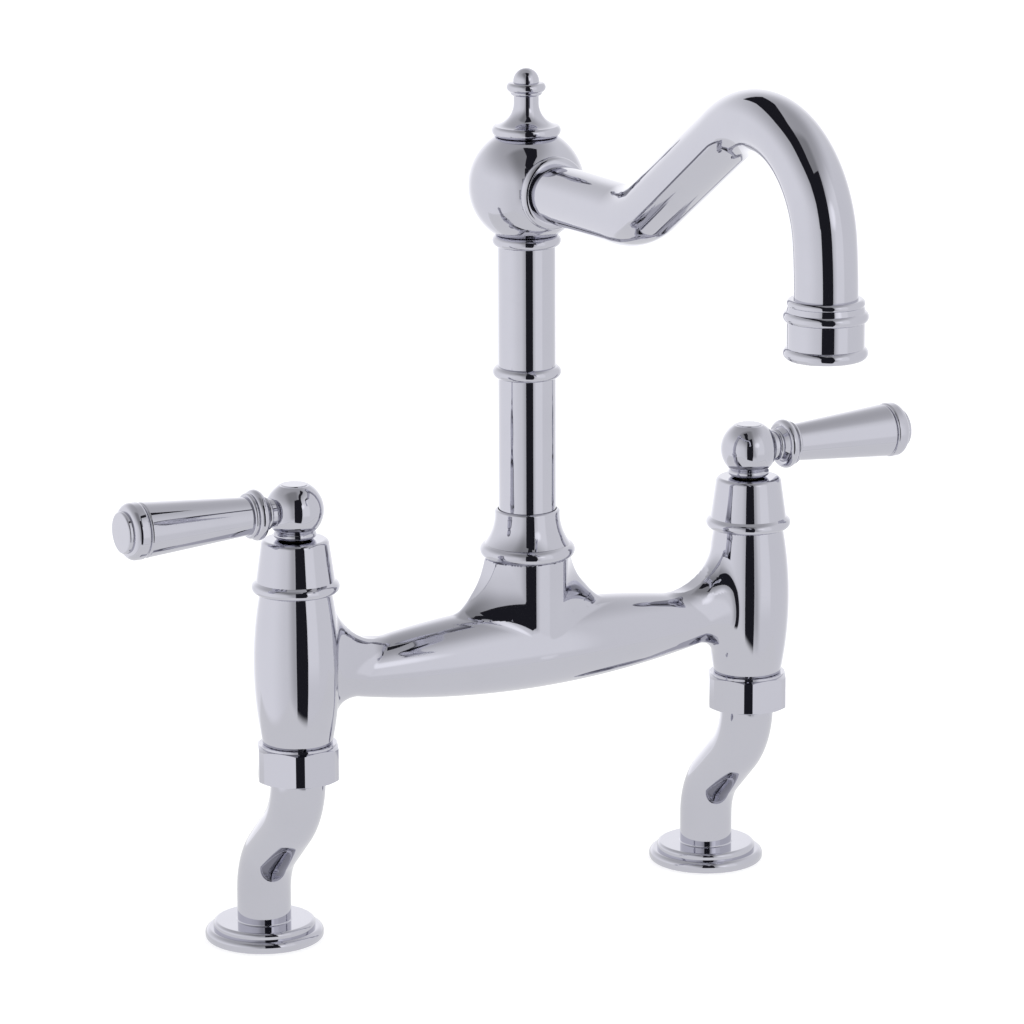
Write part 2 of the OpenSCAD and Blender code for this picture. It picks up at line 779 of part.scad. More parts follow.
// The collar between ball and grip: a waist, a small ridge, a large bead and a low ridge
module lever_collar(side) {
    waist_r = 5.4;
    ridge_out_r = 6.35;
    ridge_r = 1.1;
    ridge_z = collar_in + 2.8;
    body_low_r = 5.6;
    body_high_r = 7;
    body_z = grip_in - 5.2;
    bead_out_r = 9.65;
    bead_r = 2.1;
    bead_z = grip_in - 3.8;
    lip_out_r = 8.6;
    lip_r = 0.95;
    along_lever(side) difference() {
        turned() {
            band(0, waist_r, collar_in, ridge_z);
            bead(ridge_out_r, ridge_r, ridge_z);
            polygon([
                [0, ridge_z - seam_lap],
                [body_low_r, ridge_z - seam_lap],
                [body_high_r, body_z],
                [grip_thin_r, grip_in],
                [0, grip_in]
            ]);
            bead(bead_out_r, bead_r, bead_z);
            bead(lip_out_r, lip_r, grip_in - lip_r);
        }
        bar(rod_r, collar_in - past, grip_in + past);
    }
}

// The grip: a long cone, thicker outward, its outer edge rounded
module lever_grip(side) {
    edge_r = 1.1;
    along_lever(side) difference() {
        turned() {
            polygon([
                [0, grip_in],
                [grip_thin_r, grip_in],
                [grip_thick_r, grip_out - edge_r],
                [0, grip_out - edge_r]
            ]);
            disc(grip_thick_r, grip_out - 2 * edge_r, grip_out, 0, edge_r);
        }
        bar(rod_r, grip_in - past, grip_out + past);
    }
}

module lever_end_cap(side) {
    cap_z = grip_out + end_cap_l;
    along_lever(side) difference() {
        turned() {
            disc(end_cap_r, grip_out, cap_z, end_cap_low_round, end_cap_top_round);
            disc(end_button_r, cap_z - past, cap_z + end_button_l, 0, end_button_round);
        }
        bar(rod_r, grip_out - past, rod_out);
    }
}

module lever_rod(side) {
    along_lever(side) bar(rod_r, rod_in, rod_out);
}

// A socket-head screw that ties the lever's hub to the spindle
module lever_screw() {
    key_af = 3;
    floor_t = 1;
    difference() {
        union() {
            bar(screw_r, screw_seat_z - screw_l, screw_seat_z);
            bar(screw_head_r, screw_seat_z, screw_seat_z + screw_head_h);
        }
        translate([0, 0, screw_seat_z + floor_t])
            cylinder(d = key_af / cos(30), h = screw_head_h, $fn = 6);
    }
}

// The low round cover over the lever's screw
module screw_cover() {
    turned() disc(cover_r, cover_z, lever_flat_z + cover_proud, 0, cover_proud);
}

// The column's foot: a journal in the hub, a flange held by the collar, and a plug in the tube
module column_spigot() {
    journal_r = hub_bore_r - running;
    groove_r = journal_r - 2 * seal_r;
    color(brass) at_column() difference() {
        union() {
            bar(journal_r, spigot_low_z, flange_low_z + past);
            bar(bell_cavity_r - gap, flange_low_z, flange_top_z);
            bar(column_in_r, flange_top_z - past, spigot_plug_z);
        }
        bar(spigot_bore_r, spigot_low_z - past, spigot_plug_z + past);
        for (z = seal_z) tube(hub_bore_r + past, groove_r, z - seal_r, z + seal_r);
    }
}

module column_seals() {
    color(rubber) at_column() for (z = seal_z) turned() bead(hub_bore_r - running, seal_r, z);
}

module column_tube() {
    color(chrome) at_column() tube(column_r, column_in_r, flange_top_z, column_top_z);
}

// A turned ring round the column's tube
module column_ring(z) {
    at_column() difference() {
        turned() {
            bead(ring_r, ring_bead_r, z);
            band(0, ring_r - ring_bead_r, z - ring_bead_r, z + ring_bead_r);
        }
        bar(column_r, z - 2 * ring_bead_r, z + 2 * ring_bead_r);
    }
}

// The ball: a spigot into the column below, a bore to the spout in front, a blind hole on top
module spout_ball() {
    color(chrome) at_column() difference() {
        union() {
            intersection() {
                translate([0, 0, ball_z]) sphere(ball_r, $fn = smooth);
                bar(ball_r, column_top_z, finial_z);
                translate([-ball_r, -root_flat_s, column_top_z])
                    cube([2 * ball_r, 2 * ball_r, 2 * ball_r]);
            }
            bar(column_in_r, ball_spigot_z, column_top_z + past);
        }
        bar(ball_way_r, ball_spigot_z - past, ball_z);
        translate([0, 0, ball_z]) rotate([90, 0, 0]) {
            bar(ball_way_r, 0, ball_r);
            bar(spout_r, socket_s, ball_r);
        }
        bar(finial_stud_r, finial_z - finial_hole_l, finial_z + past);
    }
}

// The finial: a beaded flange, a hollow bell, a neck, a bead and a round top, on a stud
module finial() {
    flange_out_r = 12.2;
    flange_h = 2 * ring_bead_r - 0.5;
    neck_r = 4.8;
    bell_r = 8.6;
    bell_z = finial_z + flange_h;
    dome_r = 4.95;
    bead_out_r = 7.45;
    bead_r = 1.9;
    bead_z = finial_top_z - 7.2;
    ridge_out_r = 6.1;
    ridge_r = 1.3;
    core_r = 5.5;
    color(chrome) at_column() turned() intersection() {
        union() {
            band(0, finial_stud_r, finial_z - finial_stud_l, finial_z + past);
            band(0, flange_out_r, finial_z, finial_bead_z);
            bead(ring_r, ring_bead_r, finial_bead_z);
            band(0, ring_r - ring_bead_r, finial_z, bell_z);
            difference() {
                band(0, neck_r + bell_r, bell_z - past, bell_z + bell_r);
                translate([neck_r + bell_r, bell_z + bell_r]) circle(bell_r, $fn = smooth);
                band(ring_r - ring_bead_r, neck_r + 2 * bell_r, bell_z - 2 * past, bell_z + bell_r);
            }
            band(0, neck_r, bell_z, bead_z);
            bead(ridge_out_r, ridge_r, bead_z - bead_r);
            bead(bead_out_r, bead_r, bead_z);
            band(0, core_r, bead_z - bead_r, bead_z + bead_r);
            translate([0, finial_top_z - dome_r]) circle(dome_r, $fn = smooth);
        }
        band(0, 2 * ring_r, finial_z - finial_stud_l, finial_top_z + past);
    }
}

// The ring round the spout's root, against the flat on the ball
module spout_root_ring() {
    color(chrome) at_column() translate([0, 0, ball_z]) rotate([90, 0, 0]) difference() {
        turned() {
            bead(root_ring_r, root_bead_r, root_flat_s + root_bead_r);
            band(0, root_ring_r - root_bead_r, root_flat_s, root_flat_s + 2 * root_bead_r);
        }
        bar(spout_r, root_flat_s - past, root_flat_s + 3 * root_bead_r);
    }
}

// The spout's path in its own plane: level run, elbow, rise, arch, long drop and a straight end
module spout_path(r, over) {
    straight(r, [socket_s, 0], 0, spout_run - socket_s, over, seam_lap);
    translate([spout_run, elbow_r, 0]) bend(r, elbow_r, -90, rise_angle - 90);
    straight(r, [elbow_s, elbow_h], rise_angle, rise_run, seam_lap, seam_lap);
    translate([arch_s, arch_h, 0]) bend(r, arch_r, drop_angle, drop_angle + arch_turn);
    straight(r, [slip_s, slip_h], drop_angle - 90, slip_run, seam_lap, seam_lap);
    translate([drop_s, drop_h, 0]) bend(r, drop_r, 0, drop_angle);
    straight(r, [reach, drop_h], -90, drop_h - spout_end_h, seam_lap, over);
}

module spout_arm() {
    color(chrome) at_column() translate([0, 0, ball_z]) rotate([90, 0, -90]) difference() {
        spout_path(spout_r, 0);
        spout_path(spout_in_r, past);
    }
}

module nozzle() {
    color(chrome) at_nozzle() difference() {
        turned() {
            bead(mouth_ring_r, mouth_bead_r, mouth_z + mouth_bead_r);
            band(0, mouth_ring_r - mouth_bead_r, mouth_z, mouth_z + mouth_bead_r);
            band(0, nozzle_r, mouth_z + mouth_bead_r, nozzle_ring_z);
            bead(nozzle_ring_r, nozzle_bead_r, nozzle_ring_z);
            band(0, nozzle_ring_r - nozzle_bead_r, nozzle_ring_z, nozzle_small_z);
            bead(nozzle_small_r, small_bead_r, nozzle_small_z);
            band(0, nozzle_small_r - small_bead_r, nozzle_small_z, nozzle_top_z);
        }
        bar(aerator_r, mouth_z - past, nozzle_seat_z);
        bar(spout_in_r, mouth_z, nozzle_top_z);
        bar(spout_r, nozzle_socket_z, nozzle_top_z + past);
    }
}

// The aerator: a cup whose floor has rings of small holes
module aerator() {
    floor_t = 1.5;
    hole_r = 0.8;
    ring_step = 2.8;
    color(plastic) at_nozzle() difference() {
        bar(aerator_r - 0.1, aerator_z, aerator_seal_z);
        bar(aerator_r - 1.6, aerator_z + floor_t, aerator_seal_z + past);
        for (ring = [0 : 3], hole = [1 : max(1, 6 * ring)])
            rotate([0, 0, hole * 60 / max(1, ring)]) translate([ring * ring_step, 0, 0])
                bar(hole_r, aerator_z - past, aerator_z + floor_t + past);
    }
}

module aerator_seal() {
    color(rubber) at_nozzle() tube(aerator_r - 0.1, aerator_r - 3, aerator_seal_z, nozzle_seat_z);
}

color(chrome) at_foot(left) foot();  // left_foot
color(chrome) at_foot(right) foot();  // right_foot
color(rubber) at_foot(left) deck_seal();  // left_deck_seal
color(rubber) at_foot(right) deck_seal();  // right_deck_seal
color(chrome) at_foot(left) leg();  // left_leg
color(chrome) at_foot(right) leg();  // right_leg
for (side = [left, right]) color(chrome) at_pillar(side) union_nut();  // union_nuts
for (side = [left, right]) color(fibre) at_pillar(side) union_washer();  // union_washers
bridge_body();
bell_collar();
glide_rings();
color(chrome) at_pillar(left) bonnet();  // left_bonnet
color(chrome) at_pillar(right) bonnet();  // right_bonnet
color(brass) at_pillar(left) cartridge();  // left_cartridge
color(brass) at_pillar(right) cartridge();  // right_cartridge
color(rubber) at_pillar(left) cartridge_seal();  // left_cartridge_seal
color(rubber) at_pillar(right) cartridge_seal();  // right_cartridge_seal
color(ceramic) at_pillar(left) ceramic_disc(fixed_disc_r, fixed_disc_z, 0);  // left_fixed_disc
color(ceramic) at_pillar(right) ceramic_disc(fixed_disc_r, fixed_disc_z, 180);  // right_fixed_disc
color(ceramic) at_pillar(left) ceramic_disc(moving_disc_r, moving_disc_z, -lever_turn);  // left_moving_disc
color(ceramic) at_pillar(right) ceramic_disc(moving_disc_r, moving_disc_z, 180 + lever_turn);  // right_moving_disc
color(brass) at_pillar(left) spindle();  // left_spindle
color(brass) at_pillar(right) spindle();  // right_spindle
color(rubber) at_pillar(left) spindle_seal();  // left_spindle_seal
color(rubber) at_pillar(right) spindle_seal();  // right_spindle_seal
color(chrome) lever_hub(left);  // left_lever_hub
color(chrome) lever_hub(right);  // right_lever_hub
color(chrome) lever_collar(left);  // left_lever_collar
color(chrome) lever_collar(right);  // right_lever_collar
color(chrome) lever_grip(left);  // left_lever_grip
color(chrome) lever_grip(right);  // right_lever_grip
color(chrome) lever_end_cap(left);  // left_lever_end_cap
color(chrome) lever_end_cap(right);  // right_lever_end_cap
color(brass) lever_rod(left);  // left_lever_rod
color(brass) lever_rod(right);  // right_lever_rod
color(brass) at_pillar(left) lever_screw();  // left_lever_screw
color(brass) at_pillar(right) lever_screw();  // right_lever_screw
color(chrome) at_pillar(left) screw_cover();  // left_screw_cover
color(chrome) at_pillar(right) screw_cover();  // right_screw_cover
column_spigot();
column_seals();
column_tube();
color(chrome) column_ring(mid_ring_z);  // column_mid_ring
color(chrome) column_ring(top_ring_z);  // column_top_ring
spout_ball();
finial();
spout_root_ring();
spout_arm();
nozzle();
aerator();
aerator_seal();
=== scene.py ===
# %% [markdown]
# # A bridge kitchen faucet
#
# The faucet is brass under polished chrome: two feet on cranked legs, a bridge with two pillars and
# a hub, two levers, and a column with a ball, a finial and a swan-neck spout. Chrome has almost no
# colour of its own, so its look is shape, finish and what stands around it. Each chrome piece is
# therefore shaped again here, finely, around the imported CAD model, and keeps its place and size.

import math

import bpy
import numpy as np
from mathutils import Matrix, Vector


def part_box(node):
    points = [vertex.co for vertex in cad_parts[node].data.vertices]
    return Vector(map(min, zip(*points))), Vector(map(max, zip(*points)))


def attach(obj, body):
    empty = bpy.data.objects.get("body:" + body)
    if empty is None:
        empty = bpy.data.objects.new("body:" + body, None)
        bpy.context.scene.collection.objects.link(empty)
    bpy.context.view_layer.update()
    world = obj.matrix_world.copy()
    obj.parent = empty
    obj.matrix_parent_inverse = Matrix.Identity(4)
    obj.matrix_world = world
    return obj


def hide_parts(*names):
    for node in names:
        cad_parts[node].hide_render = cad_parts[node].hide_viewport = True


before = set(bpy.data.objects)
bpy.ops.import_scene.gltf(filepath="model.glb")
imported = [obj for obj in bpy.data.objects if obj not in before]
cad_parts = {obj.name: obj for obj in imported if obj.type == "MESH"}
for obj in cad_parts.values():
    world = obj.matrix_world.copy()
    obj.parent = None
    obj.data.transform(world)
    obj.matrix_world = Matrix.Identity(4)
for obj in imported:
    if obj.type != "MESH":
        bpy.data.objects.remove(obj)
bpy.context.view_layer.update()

# %% [markdown]
# Outlines are written in millimetres, as on a maker's drawing: how far out from the piece's axis,
# and how far along it. The axis and the foot of a piece come from its CAD node.

# %% Outlines: seats, arcs, beads and rounded corners
MM = 0.001


def seat(node):
    """The axis of an upright turned node, at its lowest height."""
    low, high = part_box(node)
    return Vector(((low.x + high.x) / 2, (low.y + high.y) / 2, low.z))


def arc(out, along, radius, start, end, steps):
    """Points of a round stretch, from one angle to another. 0 is outward, 90 is along the axis."""
    turns = [math.radians(a) for a in np.linspace(start, end, steps + 1)]
    return [(out + radius * math.cos(a), along + radius * math.sin(a)) for a in turns]


def bead(edge, along, radius, start=-90, end=90, steps=20):
    """A round bead that reaches out to edge."""
    return arc(edge - radius, along, radius, start, end, steps)


def rounded(corners, steps=8):
    """An outline in which a corner with a third number is rounded to that radius."""
    points = []
    for i, corner in enumerate(corners):
        here = Vector(corner[:2])
        if len(corner) == 2:
            points.append(here)
            continue
        back = (Vector(corners[i - 1][:2]) - here).normalized()
        on = (Vector(corners[(i + 1) % len(corners)][:2]) - here).normalized()
        half = back.angle(on) / 2
        centre = here + (back + on).normalized() * corner[2] / math.sin(half)
        first = here + back * corner[2] / math.tan(half) - centre
        last = here + on * corner[2] / math.tan(half) - centre
        turn_by = first.angle_signed(last)
        for k in range(steps + 1):
            points.append(centre + Matrix.Rotation(-turn_by * k / steps, 2) @ first)
    return points


pillars = {side: seat(side + "_bonnet") for side in ("left", "right")}
feet = {side: seat(side + "_foot") for side in ("left", "right")}
column = seat("column_mid_ring")
print("pillars", pillars["left"][:], pillars["right"][:], "column", column[:])

# %% [markdown]
# Nearly every piece is turned on a lathe. In Blender that is a line drawn by extruding one vertex
# again and again, then spun a full circle round the axis, after which the doubled seam and poles
# are merged. A Screw modifier could turn the line too, but it turns about the object's origin,
# while spin takes any axis in space, so each piece is drawn where it stands.

# %% The lathe
ROUND = 96
WELD_WITHIN = 1e-6
UP = Vector((0, 0, 1))


def only(piece):
    """Selects one piece and nothing else."""
    if bpy.context.object and bpy.context.object.mode != "OBJECT":
        bpy.ops.object.mode_set(mode="OBJECT")
    bpy.ops.object.select_all(action="DESELECT")
    if piece:
        piece.select_set(True)
        bpy.context.view_layer.objects.active = piece


def draw(name, points):
    """Draws an edge line through the points and leaves it in edit mode."""
    only(None)
    bpy.ops.mesh.primitive_plane_add(size=0.01, location=(0, 0, 0))
    piece = bpy.context.object
    piece.name = piece.data.name = name
    bpy.ops.object.mode_set(mode="EDIT")
    bpy.ops.mesh.merge(type="CENTER")
    bpy.ops.transform.translate(value=points[0])
    for here, there in zip(points, points[1:]):
        bpy.ops.mesh.extrude_region_move(TRANSFORM_OT_translate={"value": there - here})
    return piece


def weld():
    """Merges doubles, turns all faces outward and leaves edit mode."""
    bpy.ops.mesh.select_all(action="SELECT")
    bpy.ops.mesh.remove_doubles(threshold=WELD_WITHIN)
    bpy.ops.mesh.normals_make_consistent(inside=False)
    bpy.ops.object.mode_set(mode="OBJECT")


def turn(name, outline, foot, along=UP, solid=False, steps=ROUND):
    """Turns an outline round the axis. A solid outline starts and ends on the axis."""
    out = Vector((0, 0, 1)) if abs(along.x) > 0.5 else Vector((1, 0, 0))
    points = [foot + MM * (p[0] * out + p[1] * along) for p in outline]
    if not solid:
        points.append(points[0])
    piece = draw(name, points)
    bpy.ops.mesh.select_all(action="SELECT")
    bpy.ops.mesh.spin(steps=steps, angle=2 * math.pi, center=foot, axis=along)
    weld()
    return piece


def twin(piece, name):
    """A mirrored copy for the faucet's other side, with its own mesh."""
    only(piece)
    bpy.ops.object.duplicate()
    copy = bpy.context.object
    copy.name = copy.data.name = name
    copy.scale.x = -1
    bpy.ops.object.transform_apply(location=False, rotation=False, scale=True)
    bpy.ops.object.mode_set(mode="EDIT")
    weld()
    return copy


CREASE = math.radians(38)


def smooth(piece):
    """Smooth shading with crisp creases, in which the large faces keep their direction."""
    only(piece)
    bpy.ops.object.shade_smooth_by_angle(angle=CREASE)
    even = piece.modifiers.new("Even shading", "WEIGHTED_NORMAL")
    even.keep_sharp = True
    bpy.ops.object.modifier_apply(modifier=even.name)


chrome_pieces = []


def settle(piece, body, *nodes):
    """Shades a chrome piece, ties it to its body and lets it stand for its CAD nodes."""
    smooth(piece)
    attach(piece, body)
    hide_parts(*nodes)
    chrome_pieces.append(piece)
    print(piece.name, len(piece.data.polygons), "faces")


# %% [markdown]
# ## Feet
# Each foot is a two-step disc with a short neck, and a rubber seal is let into its underside.
# Stacked cylinders would leave faces inside and hard rims. So the foot is one closed outline, with
# the socket of the inlet and the groove of the seal in it, and with its rims rounded.

# %% Feet
foot_line = rounded([
    (7.5, 0), (14, 0), (14, 2), (19.5, 2), (19.5, 0), (22.9, 0, 1.6), (22.9, 4.6, 2.2),
    (19.7, 4.6), (19.7, 7.4, 1.5), (10.4, 7.4, 0.5), (10.4, 12.5), (6.5, 12.5), (6.5, 9.4),
    (7.5, 9.4),
])
left_foot = turn("left_foot_turned", foot_line, feet["left"])
right_foot = twin(left_foot, "right_foot_turned")
settle(left_foot, "base", "left_foot")
settle(right_foot, "base", "right_foot")

# %% [markdown]
# ## Legs
# A leg is one bent tube: down from the union, a bend towards the back, a straight run, and a bend
# to upright again. A curve with a round bevel could do it, but the bends of such a curve aren't
# true arcs. So a circle is extruded along the straight runs and spun through the bends, as a tube
# bender works, and Solidify gives the wall.

# %% The tube bender
TUBE_ROUND = 72


def bend_tube(name, radius, wall, start, heading, across, path):
    """Bends a tube. A path holds ("straight", mm) and ("bend", bend radius, degrees, steps).
    A bend with a positive angle turns the heading about the across direction."""
    only(None)
    tilt = UP.rotation_difference(heading).to_euler()
    bpy.ops.mesh.primitive_circle_add(
        vertices=TUBE_ROUND, radius=radius * MM, location=start, rotation=tilt
    )
    bpy.ops.object.transform_apply(location=True, rotation=True)
    piece = bpy.context.object
    piece.name = piece.data.name = name
    bpy.ops.object.mode_set(mode="EDIT")
    bpy.ops.mesh.select_all(action="SELECT")
    place = start.copy()
    for kind, *sizes in path:
        if kind == "straight":
            step = heading * sizes[0] * MM
            bpy.ops.mesh.extrude_region_move(TRANSFORM_OT_translate={"value": step})
            place = place + step
            continue
        bend_r, degrees, steps = sizes
        angle = math.radians(degrees)
        side = across.cross(heading) * math.copysign(bend_r * MM, degrees)
        centre = place + side
        bpy.ops.mesh.spin(steps=steps, angle=-angle, center=centre, axis=across)
        rotation = Matrix.Rotation(angle, 3, across)
        place = centre + rotation @ (place - centre)
        heading = rotation @ heading
    weld()
    skin = piece.modifiers.new("Wall", "SOLIDIFY")
    skin.thickness = wall * MM
    skin.offset = -1
    bpy.ops.object.modifier_apply(modifier=skin.name)
    print(name, "ends", [round(1000 * v, 2) for v in place], "heading", heading[:])
    return piece


# %% Legs
LEG_R = 10.4
LEG_WALL = 3.9
LEG_TOP = 78
LEG_LEAN = 46.5
UPPER_BEND_R = 30
LOWER_BEND_R = 26
leg_top = Vector((pillars["left"].x, pillars["left"].y, LEG_TOP * MM))
left_leg = bend_tube(
    "left_leg_bent", LEG_R, LEG_WALL, leg_top, -UP, Vector((1, 0, 0)), [
        ("straight", 6), ("bend", UPPER_BEND_R, LEG_LEAN, 20), ("straight", 17.85),
        ("bend", LOWER_BEND_R, -LEG_LEAN, 20), ("straight", 6.59),
    ],
)
right_leg = twin(left_leg, "right_leg_bent")
settle(left_leg, "base", "left_leg")
settle(right_leg, "base", "right_leg")

# %% [markdown]
# ## Union nuts
# A nut is a six-sided bar with flats on its corners, and its ends were chamfered in a lathe. So a
# hexagon gets a bevel along its upright edges, a boolean keeps what it has in common with a turned
# blank, and a last small bevel breaks the edges. A nut stops wherever it is tight, so the left one
# stands 6 degrees round from the right one, as in the photograph. Both are one node in the frame.

# %% Union nuts
NUT_FLATS = 30
NUT_HEIGHT = 14
NUT_BORE_R = 10.6
NUT_EDGE = 12.3
NUT_RIM = 14.6
NUT_CORNER_FLAT = 3.4
NUT_CHAMFER = 1.9
CLEAR = 0.2
corner = NUT_FLATS / 2 / math.cos(math.pi / 6)
nut_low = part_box("union_nuts")[0].z
nut_foot = Vector((pillars["left"].x, pillars["left"].y, nut_low))
only(None)
bpy.ops.mesh.primitive_cylinder_add(
    vertices=6, radius=corner * MM, depth=NUT_HEIGHT * MM,
    location=nut_foot + UP * NUT_HEIGHT / 2 * MM, rotation=(0, 0, math.pi / 6)
)
bpy.ops.object.transform_apply(location=True, rotation=True)
left_nut = bpy.context.object
left_nut.name = left_nut.data.name = "left_nut_turned"

# Only the upright edges are picked for the corner flats.
bpy.ops.object.mode_set(mode="EDIT")
bpy.ops.mesh.select_mode(type="EDGE")
bpy.ops.object.mode_set(mode="OBJECT")
for part in (*left_nut.data.vertices, *left_nut.data.polygons, *left_nut.data.edges):
    part.select = False
for edge in left_nut.data.edges:
    heights = [left_nut.data.vertices[i].co.z for i in edge.vertices]
    edge.select = abs(heights[0] - heights[1]) > MM
bpy.ops.object.mode_set(mode="EDIT")
bpy.ops.mesh.bevel(offset=NUT_CORNER_FLAT / 2 / math.sin(math.pi / 3) * MM, segments=1)
bpy.ops.mesh.select_mode(type="VERT")
bpy.ops.object.mode_set(mode="OBJECT")
print("six-sided bar with corner flats", len(left_nut.data.polygons), "faces")

# %% Chamfers, broken edges and the second nut
blank_line = rounded([
    (NUT_BORE_R, 0), (corner - NUT_CHAMFER, 0), (corner + CLEAR, 1.2),
    (corner + CLEAR, NUT_EDGE - 0.05), (NUT_RIM, NUT_HEIGHT - 0.8), (NUT_RIM, NUT_HEIGHT),
    (NUT_BORE_R, NUT_HEIGHT),
])
blank = turn("nut_blank", blank_line, nut_foot)
only(left_nut)
cut = left_nut.modifiers.new("Turned blank", "BOOLEAN")
cut.operation = "INTERSECT"
cut.object = blank
bpy.ops.object.modifier_apply(modifier=cut.name)
bpy.data.objects.remove(blank)
edges = left_nut.modifiers.new("Broken edges", "BEVEL")
edges.width = 0.3 * MM
edges.segments = 3
edges.limit_method = "ANGLE"
edges.angle_limit = math.radians(25)
edges.use_clamp_overlap = True
bpy.ops.object.modifier_apply(modifier=edges.name)
bpy.ops.object.mode_set(mode="EDIT")
weld()
right_nut = twin(left_nut, "right_nut_turned")

# The rotate tool counts clockwise, and the nut goes the other way, seen from above.
NUT_TURN = math.radians(-6)
only(left_nut)
bpy.ops.object.mode_set(mode="EDIT")
bpy.ops.mesh.select_all(action="SELECT")
bpy.ops.transform.rotate(value=NUT_TURN, orient_axis="Z", center_override=nut_foot)
bpy.ops.object.mode_set(mode="OBJECT")
settle(left_nut, "base", "union_nuts")
settle(right_nut, "base", "union_nuts")

# %% [markdown]
# ## Bonnets and bell collar
# These are turned caps on the pillars and on the hub. Each has a full round bead at its foot, and
# the bell collar narrows in a hollow curve to a thin lip round the column. A torus on a cone would
# only cross it, so bead, groove and slope are one outline, as a form tool cuts them.

# %% Bonnets and bell collar
BONNET_HEIGHT = 20.45
bonnet_line = rounded([
    (11, 0), *bead(16.65, 2.15, 2.15, -90, 62), (14.9, 4.55), (12.65, BONNET_HEIGHT, 1.8),
    (5.3, BONNET_HEIGHT), (5.3, 13.85), (11, 13.85),
])
left_bonnet = turn("left_bonnet_turned", bonnet_line, pillars["left"])
right_bonnet = twin(left_bonnet, "right_bonnet_turned")
settle(left_bonnet, "base", "left_bonnet")
settle(right_bonnet, "base", "right_bonnet")

bell_line = rounded([
    (11.3, 0), *bead(18.35, 2.7, 2.7, -90, 80), *arc(32.5, 17.1, 20, 216, 180, 24),
    (12.5, 18.7, 1), (11.3, 18.7),
])
bell = turn("bell_collar_turned", bell_line, seat("bell_collar"))
settle(bell, "base", "bell_collar")

# %% [markdown]
# ## Column, ball and finial
# The column is a drawn tube with two turned rings on it. The ball is a sphere with three flats: on
# the column, under the finial and behind the spout. Blender's own sphere has no ring of points
# where a flat starts, so the ball is an arc turned between its two level flats. The side flat lies
# across the turning, so it is cut with bisect, which also closes the cut.

# %% Column and rings
COLUMN_R = 11
COLUMN_WALL = 1.1
tube_low, tube_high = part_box("column_tube")
tube_rise = (tube_high.z - tube_low.z) / MM
tube = turn("column_tube_drawn", [
    (COLUMN_R, 0), (COLUMN_R, tube_rise), (COLUMN_R - COLUMN_WALL, tube_rise),
    (COLUMN_R - COLUMN_WALL, 0),
], seat("column_tube"))
settle(tube, "spout", "column_tube")

ring_line = [(COLUMN_R, 0), *bead(13.1, 2.3, 2.3), (COLUMN_R, 4.6)]
for name in ("column_mid_ring", "column_top_ring"):
    settle(turn(name + "_turned", ring_line, seat(name)), "spout", name)

# %% Ball
BALL_R = 22.1
BALL_FLAT = 18.69
BALL_FRONT = 18.4
ball_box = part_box("spout_ball")
ball_centre = Vector((column.x, column.y, ball_box[1].z - BALL_FLAT * MM))
flat_angle = math.degrees(math.asin(BALL_FLAT / BALL_R))
ball = turn("spout_ball_turned", [
    (0, -BALL_FLAT), *arc(0, 0, BALL_R, -flat_angle, flat_angle, 64), (0, BALL_FLAT),
], ball_centre, solid=True, steps=128)
only(ball)
bpy.ops.object.mode_set(mode="EDIT")
bpy.ops.mesh.select_all(action="SELECT")
front = ball_centre - Vector((0, BALL_FRONT * MM, 0))
bpy.ops.mesh.bisect(plane_co=front, plane_no=(0, -1, 0), use_fill=True, clear_outer=True)
weld()
settle(ball, "spout", "spout_ball")

# %% Finial
finial_line = [
    (0, -8), (4, -8), (4, 0), *bead(13.1, 2.3, 2.3, -90, 38), (12.2, 4.1),
    *arc(13.4, 12.7, 8.6, 262, 180, 24), (4.8, 15.2),
    *bead(6.1, 16.8, 1.3, -90, 50, 10), *bead(7.45, 18.7, 1.9, -62, 62, 16),
    *arc(0, 20.95, 4.95, -4, 90, 20),
]
finial_foot = Vector((column.x, column.y, ball_centre.z + BALL_FLAT * MM))
finial = turn("finial_turned", rounded(finial_line), finial_foot, solid=True)
settle(finial, "spout", "finial")

# %% [markdown]
# ## Spout and nozzle
# The spout is one tube again, made with the same bender: level out of the ball, up through an
# elbow, over the arch and down a nearly straight drop. Its level start takes what the reach leaves
# over, so that the drop ends in the nozzle. A beaded ring covers its root, and the nozzle is a
# turned sleeve.

# %% Spout
SPOUT_R = 11.2
SPOUT_WALL = 1.4
ROOT_DEPTH = 14
ELBOW_R = 40
RISE_ANGLE = 34
SLOPE = 60.7
ARCH_R = 40.6
DROP_ANGLE = 6
AFTER_ARCH = 1
DROP_R = 180
END_DROP = 9.34
forward = Vector((0, -1, 0))
spout_start = ball_centre + forward * ROOT_DEPTH * MM
nozzle_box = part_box("nozzle")
reach = (ball_centre.y - (nozzle_box[0].y + nozzle_box[1].y) / 2) / MM
rise = math.radians(RISE_ANGLE)
drop = math.radians(DROP_ANGLE)
level = reach - ELBOW_R * math.sin(rise) - SLOPE * math.cos(rise)
arch_reach = ARCH_R * (math.sin(rise) + math.cos(drop)) + AFTER_ARCH * math.sin(drop)
level -= arch_reach + DROP_R * (1 - math.cos(drop))
spout = bend_tube(
    "spout_arm_bent", SPOUT_R, SPOUT_WALL, spout_start, forward, Vector((-1, 0, 0)), [
        ("straight", level - ROOT_DEPTH), ("bend", ELBOW_R, RISE_ANGLE, 18), ("straight", SLOPE),
        ("bend", ARCH_R, DROP_ANGLE - 90 - RISE_ANGLE, 56), ("straight", AFTER_ARCH),
        ("bend", DROP_R, -DROP_ANGLE, 10), ("straight", END_DROP),
    ],
)
settle(spout, "spout", "spout_arm")

root_line = [(SPOUT_R, 0), *bead(13.9, 2.2, 2.2), (SPOUT_R, 4.4)]
root_foot = ball_centre + forward * BALL_FRONT * MM
settle(turn("spout_root_ring_turned", root_line, root_foot, forward), "spout", "spout_root_ring")

